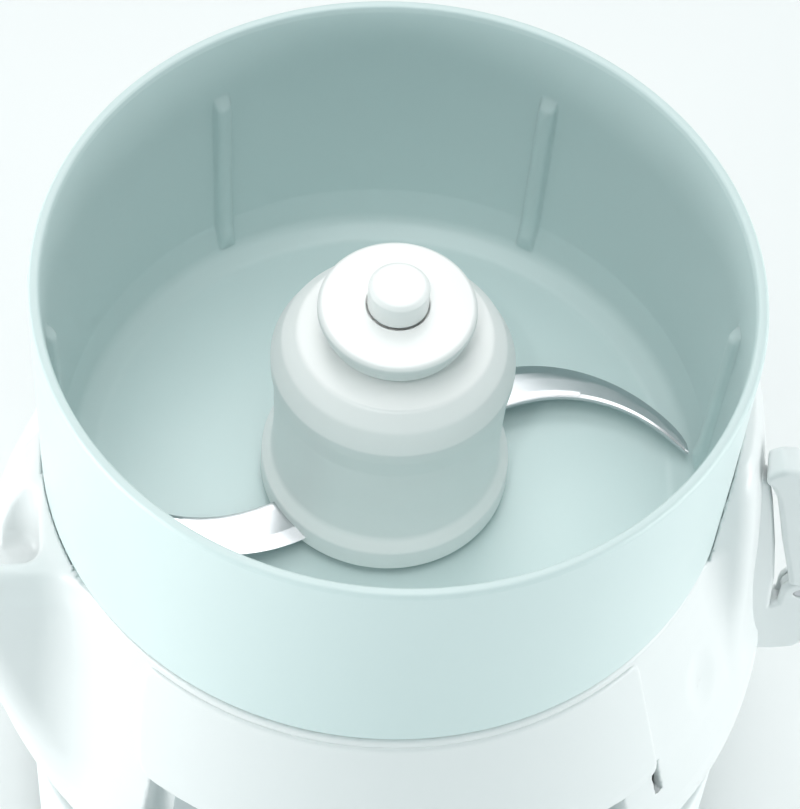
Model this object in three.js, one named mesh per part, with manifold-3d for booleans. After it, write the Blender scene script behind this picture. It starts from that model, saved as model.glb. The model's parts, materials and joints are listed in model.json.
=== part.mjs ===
// Electric bowl-type meat grinder, built as separate pieces.
// Frame: millimetres, +Z up, origin on the resting plane under the bowl axis, front at -Y.
import * as THREE from 'three';
import { mergeVertices } from 'three/addons/utils/BufferGeometryUtils.js';
import Module from 'manifold-3d';

const wasm = await Module();
wasm.setup();

// ---- driving dimensions (mm) ----
const RIM_Z = 258;            // bowl rim height
const BOWL_RI = 110;          // bowl inner radius at the rim
const BOWL_RO = 113.8;        // bowl outer radius at the rim
const SEAM_Z = 169;           // parting line between bowl and housing
const DECK_Z = 145;           // top of the housing deck that carries the bowl
const LIP_Z = 80;             // widest level of the housing
const LIP_R = 137;
const WALL = 3;               // moulded wall thickness
const HUB_R = 38.6;           // shoulder radius of the blade carrier
const HUB_Z = 230.5;          // top of the shoulder
const DISC_R = 25;            // grip disc radius
const DISC_Z = 244.3;         // grip disc top
const PIN_R = 9.6;            // release button radius
const PIN_Z = 254.5;          // release button top
const BASE_HALF = 119;        // pedestal half width
const BASE_CORNER = 70;       // pedestal corner radius
const MOTOR_Y = 62;           // motor axis offset behind the bowl axis
const SPINDLE_R = 6;
const SHAFT_R = 4;
const GAP = 0.3;              // clearance between neighbouring pieces
const SCREW_XY = 86;         // base screw positions
const CORNERS = [[1, 1], [-1, 1], [1, -1], [-1, -1]];
const SEG = 36;               // facets round the big turned pieces

// ---- helpers ----
const D = Math.PI / 180;
function solid(geo) {
  const g = geo.index ? geo.clone() : geo.clone();
  g.deleteAttribute('normal');
  if (g.getAttribute('uv')) g.deleteAttribute('uv');
  const m = mergeVertices(g, 1e-4);
  return new wasm.Manifold(new wasm.Mesh({
    numProp: 3,
    vertProperties: new Float32Array(m.attributes.position.array),
    triVerts: new Uint32Array(m.index.array),
  }));
}
function geometry(man) {
  const mesh = man.getMesh();
  const g = new THREE.BufferGeometry();
  g.setAttribute('position', new THREE.BufferAttribute(new Float32Array(mesh.vertProperties), 3));
  g.setIndex(new THREE.BufferAttribute(new Uint32Array(mesh.triVerts), 1));
  g.computeVertexNormals();
  return g;
}
const join = (...a) => a.reduce((p, q) => p.add(q));
const cut = (p, ...a) => a.reduce((x, y) => x.subtract(y), p);

// turned solid about Z: points are [radius, z], outline runs anticlockwise in the r-z plane
function turned(points, seg = 0, start = 0) {
  seg = seg ? Math.max(10, 2 * Math.round(seg * 0.2)) : SEG;
  const pts = points.map(([r, z]) => new THREE.Vector2(r, z));
  const first = pts[0], last = pts[pts.length - 1];
  const onAxis = first.x < 1e-9 && last.x < 1e-9;
  if (!onAxis) pts.push(first.clone());
  const g = new THREE.LatheGeometry(pts, seg, start, Math.PI * 2);
  g.rotateX(Math.PI / 2);
  let s = fixed(g);
  return s;
}
// closes the outline into a solid with outward faces
function fixed(g) {
  let s;
  const h = g.clone();
  h.deleteAttribute('normal'); if (h.getAttribute('uv')) h.deleteAttribute('uv');
  const m = mergeVertices(h, 1e-4);
  // drop zero-area triangles left on the axis
  const idx = m.index.array, keep = [];
  for (let i = 0; i < idx.length; i += 3) {
    const [a, b, c] = [idx[i], idx[i + 1], idx[i + 2]];
    if (a !== b && b !== c && a !== c) keep.push(a, b, c);
  }
  const p = m.attributes.position.array;
  let vol = 0;
  for (let i = 0; i < keep.length; i += 3) {
    const [a, b, c] = [keep[i] * 3, keep[i + 1] * 3, keep[i + 2] * 3];
    vol += p[a] * (p[b + 1] * p[c + 2] - p[b + 2] * p[c + 1])
      - p[a + 1] * (p[b] * p[c + 2] - p[b + 2] * p[c])
      + p[a + 2] * (p[b] * p[c + 1] - p[b + 1] * p[c]);
  }
  if (vol < 0) for (let i = 0; i < keep.length; i += 3) { const t = keep[i]; keep[i] = keep[i + 1]; keep[i + 1] = t; }
  s = new wasm.Manifold(new wasm.Mesh({ numProp: 3, vertProperties: new Float32Array(p), triVerts: new Uint32Array(keep) }));
  return s;
}
function ring(ro, ri, z0, z1, seg = 0) { return turned([[ri, z0], [ro, z0], [ro, z1], [ri, z1]], seg); }
function disc(r, z0, z1, seg = 40) { return turned([[0, z0], [r, z0], [r, z1], [0, z1]], seg); }
function shapeOf(pts) { return new THREE.Shape(pts.map(([x, y]) => new THREE.Vector2(x, y))); }
// prism of an XY outline from z0 to z1
function prism(pts, z0, z1) {
  const g = new THREE.ExtrudeGeometry(shapeOf(pts), { depth: z1 - z0, bevelEnabled: false, curveSegments: 12 });
  g.translate(0, 0, z0);
  return fixed(g);
}
// prism of an XZ outline from y0 to y1
function prismY(pts, y0, y1) {
  const g = new THREE.ExtrudeGeometry(shapeOf(pts.map(([x, z]) => [x, z])), { depth: y1 - y0, bevelEnabled: false });
  g.rotateX(Math.PI / 2);          // (x, z, d) -> (x, -d, z)
  g.translate(0, y1, 0);
  return fixed(g);
}
// prism of a YZ outline from x0 to x1
function prismX(pts, x0, x1) {
  const g = new THREE.ExtrudeGeometry(shapeOf(pts), { depth: x1 - x0, bevelEnabled: false });
  const m = new THREE.Matrix4().makeBasis(new THREE.Vector3(0, 1, 0), new THREE.Vector3(0, 0, 1), new THREE.Vector3(1, 0, 0));
  g.applyMatrix4(m);
  g.translate(x0, 0, 0);
  return fixed(g);
}
function box(x0, x1, y0, y1, z0, z1) {
  const g = new THREE.BoxGeometry(x1 - x0, y1 - y0, z1 - z0);
  g.translate((x0 + x1) / 2, (y0 + y1) / 2, (z0 + z1) / 2);
  return fixed(g);
}
function at(man, x = 0, y = 0, z = 0, rx = 0, ry = 0, rz = 0) {
  const g = geometry(man);
  g.applyMatrix4(new THREE.Matrix4().compose(new THREE.Vector3(x, y, z),
    new THREE.Quaternion().setFromEuler(new THREE.Euler(rx * D, ry * D, rz * D, 'XYZ')), new THREE.Vector3(1, 1, 1)));
  return solid(g);
}
function roundedRect(hx, hy, r, n = 8) {
  const p = [];
  for (const [cx, cy, a0] of [[hx - r, hy - r, 0], [-(hx - r), hy - r, 90], [-(hx - r), -(hy - r), 180], [hx - r, -(hy - r), 270]])
    for (let i = 0; i <= n; i++) p.push([cx + r * Math.cos((a0 + 90 * i / n) * D), cy + r * Math.sin((a0 + 90 * i / n) * D)]);
  return p;
}
function sector(a0, a1, r, z0, z1, n = 24) {
  const p = [[0, 0]];
  for (let i = 0; i <= n; i++) { const a = (a0 + (a1 - a0) * i / n) * D; p.push([r * Math.cos(a), r * Math.sin(a)]); }
  return prism(p, z0, z1);
}

const group = new THREE.Group();
const MATS = {
  white: [0xf3f6f6, 0.22, 0], white2: [0xeef2f2, 0.3, 0], grey: [0x8d9496, 0.5, 0], rubber: [0x2b2d2f, 0.9, 0],
  steel: [0xb9bdc1, 0.3, 1], dark: [0x35383b, 0.55, 0], copper: [0xb4693c, 0.4, 1], green: [0x2f6b46, 0.6, 0],
  lamp: [0xd9822b, 0.25, 0], bronze: [0xa8854f, 0.45, 1],
};
function node(name, man, mat) {
  const [c, r, m] = MATS[mat];
  const mesh = new THREE.Mesh(geometry(man), new THREE.MeshStandardMaterial({ color: c, roughness: r, metalness: m }));
  mesh.name = name;
  group.add(mesh);
}

// ---- upper housing: flared shell with collar, deck, fairing and grip shelf ----
const flare = [[BASE_HALF - 1, 72], [LIP_R - 4.5, 73.5], [LIP_R - 0.8, 75.5], [LIP_R, LIP_Z - 1], [LIP_R, LIP_Z + 7], [LIP_R - 0.3, 91.5], [135.4, 95.8], [133.0, 101], [130.2, 108.5], [127.8, 118], [123.2, 133], [118.4, 147], [115.2, 158], [113.6, 165], [113.0, 168], [112.0, SEAM_Z]];
const flareR = z => { for (let i = 4; i < flare.length - 1; i++) { const [r0, z0] = flare[i], [r1, z1] = flare[i + 1]; if (z >= z0 && z <= z1) return r0 + (r1 - r0) * (z - z0) / (z1 - z0); } return 113; };
const flareOut = turned([[0, 72], ...flare, [0, SEAM_Z]]);
// right fairing, a turned wedge that rises beside the bowl
const fairingTurn = turned([[114.2, 100], [130, 100], [130.2, 108], [129.4, 118], [129, 130], [127.6, 150], [125.8, 168], [124.2, 182], [122.2, 193], [119.6, 201], [116.8, 205.5], [114.2, 207]]);
const fairingWindow = prismX([[-50, 90], [50, 90], [47, 150], [44, 185], [40, 198], [33, 205], [25, 208], [-25, 208], [-33, 205], [-40, 198], [-44, 185], [-47, 150]], 40, 160);
const fairing = fairingTurn.intersect(fairingWindow);
// left grip shelf with a finger scoop
const shelfPlan = [[-100, -51], [-141, -51], [-148, -48.5], [-152, -43], [-153.2, -35], [-152.6, -26], [-148.5, -19], [-141, -15], [-128, -12.5], [-116, -11.5], [-100, -11]];
let shelf = prism(shelfPlan, 84, 166).intersect(turned([[0, 84], [133, 84], [139, 91], [148, 106], [154, 124], [160, 150], [158.5, 158], [154, 163.5], [148, 166], [0, 166.5]]));
shelf = shelf.subtract(turned([[0, 90], [BOWL_RO + 0.4, 90], [BOWL_RO + 0.4, 200], [0, 200]]).intersect(box(-200, 200, -200, 200, SEAM_Z - 0.1, 200)));
// the housing swells out below the shelf's front lip and runs down to the flare
const fender = prismX([[-11, 84], [-11, 166], [-48, 166], [-52.5, 164], [-58, 156.5], [-66, 142], [-74, 124], [-80, 106], [-82, 90], [-82, 84]], -170, -99)
  .intersect(turned([[0, 84], [135.5, 84], [137.6, 92], [141, 102], [144, 114], [148, 130], [152, 150], [152, 163], [149, 166], [0, 166.5]]));
const fenderClear = turned([[0, 90], [BOWL_RO + 0.4, 90], [BOWL_RO + 0.4, 200], [0, 200]]).intersect(box(-200, 200, -200, 200, SEAM_Z - 0.1, 200));
shelf = join(shelf, fender.subtract(fenderClear));
// the shelf's rear wall is an ear that falls away outwards, and its side wall runs down to the scoop's floor
const rearCut = prismY([[-112.5, 190], [-112.5, 172], [-116, 169], [-120.2, 163.5], [-124.5, 153.5], [-127.2, 145], [-129, 137], [-130.2, 133], [-175, 133], [-175, 190]], -24, 4);
const sideCut = prismX([[-46, 190], [-46, 166.2], [-24, 133], [4, 133], [4, 190]], -175, -130.2);
const scoop = prism([[-114.5, -47.5], [-139.5, -47.5], [-145.5, -44.8], [-149, -40], [-149.6, -34], [-148.8, -28], [-145, -22.4], [-139, -18.8], [-128, -16.6], [-118, -16], [-112.5, -20], [-110.5, -33], [-111, -42]], 133, 190);
let housing = join(flareOut, fairing, shelf);
// hollow interior below the deck
const inner = turned([[0, 60], [BASE_HALF - 7, 60], [BASE_HALF - 7, 76], [LIP_R - 8, 77.5], [LIP_R - 4.4, 80], [LIP_R - 4, 87], [132.4, 91], [130.6, 95.4], [128.8, 100], [126.4, 108], [127.8 - WALL - 0.6, 118], [123.2 - WALL - 0.6, 133], [121, 139], [108, DECK_Z - 4], [0, DECK_Z - 4]]);
const scoopWall = prism([[-92, -54], [-153, -54], [-153, -8], [-92, -8]], 129.6, 142);
housing = cut(housing, inner.subtract(scoopWall));
housing = cut(housing, scoop, rearCut, sideCut);
// bowl seat above the deck
housing = cut(housing, turned([[0, DECK_Z], [99, DECK_Z], [104.8, DECK_Z + 1.2], [109.6, DECK_Z + 6.4], [110.7, DECK_Z + 11.5], [110.7, SEAM_Z + 1], [0, SEAM_Z + 1]]));
housing = cut(housing, disc(BOWL_RO + 0.35, SEAM_Z, 220, 0));
// bearing boss in the deck
housing = join(housing, ring(22, 14.4, 124, DECK_Z - 3, 46));
housing = cut(housing, disc(14.4, 120, DECK_Z - 5, 46), disc(9, 120, 160, 46));
// spindle collar above the deck is part of the bowl, so the deck stays flat.
// control recess under the front panel
const NICHE_A = 43;
const nicheBand = turned([[126.2, 88], [150, 86.5], [150, 118.6], [121.8, 118.6]]).intersect(sector(-90 - NICHE_A, -90 + NICHE_A, 160, 80, 125, 12));
const nicheBack = turned([[122.6, 84], [132, 84], [128.5, 122], [117.2, 122]]).intersect(sector(-90 - NICHE_A - 2, -90 + NICHE_A + 2, 160, 84, 122, 12));
housing = join(housing, nicheBack.intersect(flareOut));
housing = cut(housing, nicheBand);
// oval dimple at the front right
{
  const g = new THREE.SphereGeometry(1, 16, 10);
  g.scale(7, 10.5, 17);
  g.rotateY(-16 * D);
  g.rotateZ(-34 * D);
  const a = -33 * D, rr = flareR(128) + 4.6;
  g.translate(rr * Math.cos(a), rr * Math.sin(a), 130);
  housing = cut(housing, fixed(g));
}
// small slot at the front right, and the groove ring under the seam
housing = cut(housing, at(box(-3, 6, -1.6, 1.6, -8, 8), 129.2 * Math.cos(-46.4 * D), 129.2 * Math.sin(-46.4 * D), 108, 0, 0, -46.4));
// window for the cord inlet at the back and vent slots
const INLET = [30, 127.6, 100];
housing = join(housing, at(disc(13.5, -10, 6, 40), INLET[0], INLET[1], INLET[2], -90, 0, 0).intersect(flareOut));
housing = cut(housing, at(disc(11.2, 0, 14, 40), INLET[0], INLET[1], INLET[2], -90, 0, 0), at(disc(8.2, -14, 4, 40), INLET[0], INLET[1], INLET[2], -90, 0, 0));
for (let i = 0; i < 7; i++) housing = cut(housing, at(box(100, 150, -1.8, 1.8, 94, 118), 0, 0, 0, 0, 0, 104 + i * 4.2));
// holes for knob spindle, button stem and lamp pass through the niche back
const CTRL_Z = 102.5, CTRL_TILT = 8.2, CTRL_R = 126.1;   // the controls' axis tilts up from the radial direction
const ctrl = (man, a) => at(at(man, 0, -CTRL_R, CTRL_Z, 90 - CTRL_TILT, 0, 0), 0, 0, 0, 0, 0, a);
for (const [a, r] of [[0, 4.4], [-14, 3.4], [14, 3.4]]) housing = cut(housing, ctrl(disc(r, -20, 20, 40), a));
// seat for the lock lever bracket
node('upper_housing', housing, 'white');

// ---- front panel, a raised cover over the flare ----
const PANEL_A = 43.5;
const panelBand = turned([[128.0 + 0.35, 119.2], [129.6, 119.2], [130.0, 120.4], [125.4, 133], [120.6, 147], [117.2, 158], [115.6, 164.4], [115.0, 165.2], [113.6 + 0.35, 165.4], [115.2 + 0.35, 158], [118.4 + 0.35, 147], [123.2 + 0.35, 133]]);
node('front_panel', panelBand.intersect(sector(-90 - PANEL_A, -90 + PANEL_A, 170, 110, 170, 14)), 'white');

// ---- pedestal ----
const ped = roundedRect(BASE_HALF, BASE_HALF, BASE_CORNER, 7);
const pedIn = roundedRect(BASE_HALF - WALL, BASE_HALF - WALL, BASE_CORNER - WALL, 7);
const pedLow = roundedRect(BASE_HALF - 3, BASE_HALF - 3, BASE_CORNER - 3, 7);
let pedestal = join(prism(ped, 7, 71.6), prism(pedLow, 5, 9.5));
pedestal = cut(pedestal, prism(pedIn, 8.5, 69), prism(roundedRect(BASE_HALF - 9, BASE_HALF - 9, BASE_CORNER - 9, 7), 4, 9));
pedestal = cut(pedestal, disc(108, 60, 80, 0));
for (const [sx, sy] of CORNERS) {
  const post = turned([[0, 8.6], [6.5, 8.6], [6.5, 69.5], [0, 69.5]], 24);
  const rib = at(box(0, 16, -1.2, 1.2, 8.6, 69.5), 0, 0, 0, 0, 0, Math.atan2(sy, sx) / D);
  const bore = turned([[0, 0], [2.4, 0], [2.4, 30], [0, 30]], 16);
  pedestal = join(pedestal, at(cut(join(post, rib), bore), sx * SCREW_XY, sy * SCREW_XY, 0));
}
node('lower_base', pedestal, 'white2');

// ---- base plate, feet and screws ----
let plate = prism(roundedRect(BASE_HALF - 9.4, BASE_HALF - 9.4, BASE_CORNER - 9.4, 7), 5, 8.2);
for (const [sx, sy] of CORNERS) {
  plate = cut(plate, at(turned([[0, 0], [2.4, 0], [2.4, 12], [0, 12]], 16), sx * SCREW_XY, sy * SCREW_XY, 0));
}
for (let i = -4; i <= 4; i++) plate = cut(plate, box(-24, 24, i * 8 + 40 - 1.6, i * 8 + 40 + 1.6, 0, 12));
node('base_plate', plate, 'grey');
let k = 0;
for (const [sx, sy] of CORNERS) {
  k++;
  node('foot_' + k, at(turned([[0, 0], [10.5, 0], [12, 1.5], [11, 4.7], [0, 4.7]], 32), sx * 62, sy * 90, 0), 'rubber');
  node('base_screw_' + k, at(turned([[0, 2.6], [4.2, 2.6], [4.2, 4.7], [2, 4.7], [2, 26], [0, 26]], 16), sx * SCREW_XY, sy * SCREW_XY, 0), 'steel');
}

// ---- work bowl with central column, ribs and rolled rim ----
const bowlProfile = [
  [0, DECK_Z + GAP], [98, DECK_Z + GAP], [104, DECK_Z + 1.6], [108.6, DECK_Z + 7], [110.2, DECK_Z + 12], [110.2, SEAM_Z + 0.35],
  [111.6, SEAM_Z + 0.5], [112.9, SEAM_Z + 1.3], [113.5, SEAM_Z + 2.6], [BOWL_RO, RIM_Z - 4], [BOWL_RO, RIM_Z - 1.5], [BOWL_RO - 0.8, RIM_Z - 0.3], [BOWL_RO - 1.6, RIM_Z],
  [BOWL_RI + 0.7, RIM_Z], [BOWL_RI + 0.1, RIM_Z - 0.7], [BOWL_RI - 0.1, RIM_Z - 2], [107.6, 170], [106.4, 160], [103, 153], [97.5, 149.8], [33, 149.4], [29.4, 151.5], [27.4, 156], [25.4, 218], [24.2, 221.6], [21.6, 222.6],
  [11.5, 222.6], [0, 222.6],
];
let bowl = turned(bowlProfile);
bowl = cut(bowl, turned([[0, 140], [24, 140], [22.4, 214], [19.6, 218.8], [0, 218.8]], 46));
bowl = cut(bowl, disc(7.6, 200, 240, 32));
for (let i = 0; i < 6; i++) {
  const r0 = 109.2, rib = at(turned([[0, 158], [3.4, 158], [3.4, 227], [2.4, 229.2], [0, 230]], 40), r0 * Math.cos(i * 60 * D), r0 * Math.sin(i * 60 * D), 0);
  bowl = join(bowl, rib.intersect(disc(109.6, 100, 240, 0)));
}
node('bowl', bowl, 'white');

// seal ring on the deck, under the bowl's column
node('bowl_seal', ring(13, 9.4, DECK_Z + GAP, DECK_Z + 3.4, 40), 'rubber');

// ---- spindle and its bearings ----
node('drive_spindle', turned([[0, 12], [SPINDLE_R, 12], [SPINDLE_R, 128], [SPINDLE_R + 1.2, 128.6], [SPINDLE_R + 1.2, 131.6], [SPINDLE_R, 132.2], [SPINDLE_R, 232], [SPINDLE_R - 1.4, 234.5], [0, 234.5]], 24), 'steel');
node('spindle_bearing_upper', ring(14.1, 7.6, 132, 139.6, 36), 'bronze');
node('spindle_bearing_lower', ring(14.1, SPINDLE_R + 0.3, 40.4, 48.4, 36), 'bronze');
// spindle pulley with two flanges
node('spindle_pulley', cut(turned([[0, 18], [43, 18], [43, 20], [40, 20.6], [40, 31.4], [43, 32], [43, 34], [14, 34], [14, 37], [0, 37]], 64), disc(SPINDLE_R + 0.25, 10, 40, 24)), 'dark');
// motor pulley
node('motor_pulley', at(cut(turned([[0, 18], [16, 18], [16, 20], [13, 20.6], [13, 31.4], [16, 32], [16, 34], [0, 34]], 40), disc(SHAFT_R + 0.25, 10, 40, 24)), 0, MOTOR_Y, 0), 'dark');
// drive belt round both pulleys
{
  const RB = 40.4, RS = 13.4, TH = 2.4, d = MOTOR_Y;
  const hull = (a, b) => {
    const th = Math.asin((a - b) / d), p = [];
    for (let i = 0; i <= 26; i++) { const t = Math.PI - th + (Math.PI + 2 * th) * i / 26; p.push([a * Math.cos(t), a * Math.sin(t)]); }
    for (let i = 0; i <= 14; i++) { const t = th + (Math.PI - 2 * th) * i / 14; p.push([b * Math.cos(t), d + b * Math.sin(t)]); }
    return p;
  };
  node('drive_belt', prism(hull(RB + TH, RS + TH), 21.6, 30.4).subtract(prism(hull(RB, RS), 10, 40)), 'rubber');
}

// ---- motor ----
let stator = prism(roundedRect(35, 35, 12, 5).map(([x, y]) => [x, y + MOTOR_Y]), 54, 104);
stator = cut(stator, at(disc(22.6, 40, 120, 40), 0, MOTOR_Y, 0));
node('motor_stator', stator, 'dark');
node('field_windings', cut(at(ring(31, 23, 104.3, 116, 40), 0, MOTOR_Y, 0)), 'copper');
node('motor_rotor', at(turned([[0, 14], [SHAFT_R, 14], [SHAFT_R, 56], [21.8, 57], [21.8, 102], [13, 103], [13, 117], [SHAFT_R, 118], [SHAFT_R, 136], [0, 136]], 40), 0, MOTOR_Y, 0), 'steel');
let fan = cut(disc(SHAFT_R + 4, 121, 130, 24), disc(SHAFT_R + 0.25, 110, 140, 24));
fan = join(fan, cut(disc(27, 121, 122.6, 40), disc(SHAFT_R + 0.25, 110, 140, 24)));
for (let i = 0; i < 9; i++) fan = join(fan, at(box(6.5, 26.5, -0.9, 0.9, 122, 130), 0, 0, 0, 0, 0, i * 40));
node('motor_fan', at(fan, 0, MOTOR_Y, 0), 'dark');
// bracket plate that carries the stator and the lower spindle bearing
let bracket = prism([[-39, -42], [39, -42], [42, 24], [40, 99], [-40, 99], [-42, 24]], 41, 46);
bracket = join(bracket, ring(18.5, 14.4, 40.4, 50, 36));
for (const [x, y] of [[-34, 92], [34, 92], [-34, -37], [34, -37]]) bracket = join(bracket, at(disc(4.5, 8.6, 45, 20), x, y, 0));
bracket = cut(bracket, disc(14.4, 30, 60, 36), at(disc(9, 30, 60, 28), 0, MOTOR_Y, 0));
for (const [x, y] of [[-28, MOTOR_Y - 28], [28, MOTOR_Y - 28], [-28, MOTOR_Y + 28], [28, MOTOR_Y + 28]]) bracket = join(bracket, at(disc(4, 45, 53.7, 20), x, y, 0));
node('motor_bracket', bracket, 'steel');

// ---- blade carrier over the column, with the grip disc and release button ----
let carrier = turned([
  [0, 153], [40.4, 153], [41.2, 153.8], [41.2, 161], [39.8, 163], [37.8, 166.4], [37.2, 180], [37.2, 196], [37.9, 207.5], [HUB_R, 212], [HUB_R, 215.6],
  [HUB_R - 1.2, 219.9], [HUB_R - 3.4, 224.3], [HUB_R - 6.2, 227.9], [HUB_R - 9, 229.8], [19.2, HUB_Z + 0.6], [0, HUB_Z + 0.6]], 72);
carrier = cut(carrier, turned([[0, 140], [31, 140], [30, 156], [29.2, 160], [27.4, 218], [25, 226], [0, 226]], 56));
carrier = cut(carrier, disc(SPINDLE_R + 0.4, 200, 245, 28));
// slots that hold the two blades
const bladeOutline = (len, w, bend) => {
  const p = [], q = [];
  for (let i = 0; i <= 10; i++) { const t = i / 10, r = 40 + (len - 40) * t, a = bend * t * t * D; p.push([r * Math.cos(a), r * Math.sin(a)]); }
  for (let i = 10; i >= 0; i--) { const t = i / 10, r = 40 + (len - 40) * t, a = (bend * t * t) * D + (w * (1 - 0.55 * t * t)) / r; q.push([r * Math.cos(a), r * Math.sin(a)]); }
  return [...p, ...q];
};
const ringOf = (z0, z1) => ring(41, 33, z0, z1, 56);
carrier = cut(carrier, ring(60, 32.4, 156.6, 159.4, 72).intersect(join(at(box(20, 60, -1, 24, 150, 165), 0, 0, 0, 0, 0, 20), at(box(20, 60, -1, 24, 150, 165), 0, 0, 0, 0, 0, 200))));
node('blade_carrier', carrier, 'white');
const blade = (z, rot, len, w, bend) => at(prism(bladeOutline(len, w, bend), z, z + 1.8), 0, 0, 0, 0, 0, rot);
const bladeLow = join(blade(157.1, 26, 102.5, 17, -26), blade(157.1, 206, 102.5, 17, -26), ring(42.5, 33, 157.1, 158.9, 56).intersect(join(at(box(20, 60, 1.4, 22, 150, 165), 0, 0, 0, 0, 0, 20), at(box(20, 60, 1.4, 22, 150, 165), 0, 0, 0, 0, 0, 200))));
node('lower_blade_a', bladeLow.intersect(at(box(0.01, 200, -200, 200, 150, 165), 0, 0, 0, 0, 0, 20)), 'steel');
node('lower_blade_b', bladeLow.intersect(at(box(-200, -0.01, -200, 200, 150, 165), 0, 0, 0, 0, 0, 20)), 'steel');

// grip disc on its neck
let knob = turned([[0, HUB_Z + 0.9], [18.4, HUB_Z + 0.9], [18.6, 234.4], [21.8, 234.7], [22.9, 235.4], [23.5, 237], [24.5, 240.2], [DISC_R, 241.2], [DISC_R, 243.2], [DISC_R - 0.9, DISC_Z], [PIN_R + 1.2, DISC_Z], [0, DISC_Z]], 64);
knob = cut(knob, disc(PIN_R + 0.45, 239.5, 250, 40), disc(6.4, 225, 250, 32));
node('grip_disc', knob, 'white');
node('release_button', turned([[0, 241.8], [5.6, 241.8], [5.6, 244.4], [PIN_R, 244.5], [PIN_R, PIN_Z - 1.1], [PIN_R - 1.1, PIN_Z], [0, PIN_Z]], 40), 'white');
node('release_spring', ring(5.4, 3.6, 235.2, 241.5, 20), 'steel');

// ---- control recess: fascia, knob, pulse button, lamp ----
let fascia = turned([[126.45, 89], [127.95, 89], [123.75, 118], [122.25, 118]]).intersect(sector(-90 - 34, -90 + 34, 160, 85, 122, 12));
for (const [a, r] of [[0, 5.2], [-14, 8.8], [14, 4.9]]) fascia = cut(fascia, ctrl(disc(r, -20, 20, 56), a));
node('control_fascia', fascia, 'grey');
// local +Z points out of the recess, zero on the fascia's face
let kn = join(turned([[0, 1.2], [12.2, 1.2], [12.6, 2.2], [11.8, 7.2], [10.8, 8.1], [0, 8.1]], 64), turned([[0, -13], [3.6, -13], [3.6, 2], [0, 2]], 40));
kn = join(kn, box(-1.6, 1.6, -11, 11, 7, 9.4));
node('speed_knob', ctrl(kn, 0), 'grey');
node('pulse_button', ctrl(join(turned([[0, 1.6], [8.2, 1.6], [8.2, 4.6], [7.4, 5.8], [0, 6.2]], 56), turned([[0, -12], [2.8, -12], [2.8, 2], [0, 2]], 40)), -14), 'grey');
node('pulse_spring', ctrl(ring(5.2, 3.7, -1.2, 1.3, 40), -14), 'steel');
node('power_lamp', ctrl(turned([[0, -12], [2.9, -12], [2.9, -1.2], [4.4, -1.0], [4.4, 1.4], [3, 2.4], [0, 2.8]], 48), 14), 'lamp');
node('speed_switch', ctrl(box(-11, 11, -10, 10, -26, -13.4), 0), 'dark');
node('pulse_switch', ctrl(box(-6, 6, -8, 8, -22, -15.2), -14), 'dark');
node('control_board', box(-46, 46, -97.4, -95.8, 84, 120), 'green');

// ---- lock lever at the right: bracket with the lower arm, pin and lever ----
const LEV_Y0 = -30, LEV_Y1 = -21, EAR_T = 2.7, PIV = [143.5, 118.5], EAR_R = 6.8;
const arc = (r, a0, a1, n = 8) => Array.from({ length: n + 1 }, (_, i) => { const a = (a0 + (a1 - a0) * i / n) * D; return [PIV[0] + r * Math.cos(a), PIV[1] + r * Math.sin(a)]; });
let arm = prismY([[126, 84], [131, 81], [139, 80.5], [147, 82], [151.5, 87], [153.2, 95], [152.5, 104], [150.6, 110.5], [150.3, 116], ...arc(EAR_R, 0, 180), [136.7, 112], [134.4, 110.2], [133.2, 128], [130, 150], [125.2, 176], [122.4, 187], [119.8, 189.8], [112, 189.8], [112, 84]], LEV_Y0, LEV_Y1);
arm = cut(arm, box(136, 160, LEV_Y0 + EAR_T, LEV_Y1 - EAR_T, 111.4, 130));
arm = cut(arm, at(turned([[0, -40], [2.5, -40], [2.5, 40], [0, 40]], 24), PIV[0], 0, PIV[1], 90, 0, 0));
// the bracket stands on the outside of the housing only
arm = cut(arm, turned([[0, 60], [LIP_R + 0.3, 60], [LIP_R + 0.3, 87.2], [LIP_R, 92], [135.8, 96.2], [133.4, 101.4], [131.2, 107.4], [129.8, 118], [129.4, 130], [128.0, 150], [126.2, 168], [124.6, 182], [122.6, 193], [114, 207], [0, 207]]));
const bracketBack = arm;
// ---- the bracket's mounting pad bridges the gap at its centre line
node('lever_bracket', bracketBack, 'white');
node('lever_pin', at(turned([[0, -LEV_Y1 + 0.5], [2.2, -LEV_Y1 + 0.5], [2.2, -LEV_Y0 - 0.5], [0, -LEV_Y0 - 0.5]], 20), PIV[0], 0, PIV[1], 90, 0, 0), 'steel');
const leverClear = turned([[0, 120], [131.2, 120], [130.6, 131], [129.4, 150], [127.6, 168], [126.0, 182], [124.0, 193], [121.2, 202], [118, 209], [0, 209]]);
let lever = prismY([[138.4, 129.4], [136.2, 140], [133.4, 155], [130.6, 168], [127.6, 180], [124.2, 189.4], [121.4, 193.4], [120.2, 196.5], [121, 200], [124, 202.6], [129, 203.4], [133.4, 201.6], [136.8, 196.5], [139.5, 186], [142.6, 170], [145.6, 152], [148, 138], [148.9, 130], [148.9, 126.6], [138.8, 126.6]], LEV_Y0, LEV_Y1);
const tongue = prismY([...arc(6.2, 180, 360, 10), [148.6, 128.5], [139.2, 128.5]], LEV_Y0 + EAR_T + 0.35, LEV_Y1 - EAR_T - 0.35);
lever = cut(join(lever.subtract(leverClear), tongue), at(turned([[0, -40], [2.5, -40], [2.5, 40], [0, 40]], 24), PIV[0], 0, PIV[1], 90, 0, 0));
node('lock_lever', lever, 'white');

// ---- cord inlet at the back ----
node('cord_inlet', at(turned([[3.4, -9], [7.8, -9], [7.8, 0.4], [10.4, 0.4], [10.4, 2.6], [6.8, 3.2], [5.8, 5.2], [3.4, 5.2]], 28), INLET[0], INLET[1], INLET[2], -90, 0, 0), 'rubber');

export default group;
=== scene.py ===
import bpy, bmesh, json, math
import numpy as np
from mathutils import Vector, Matrix


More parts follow.
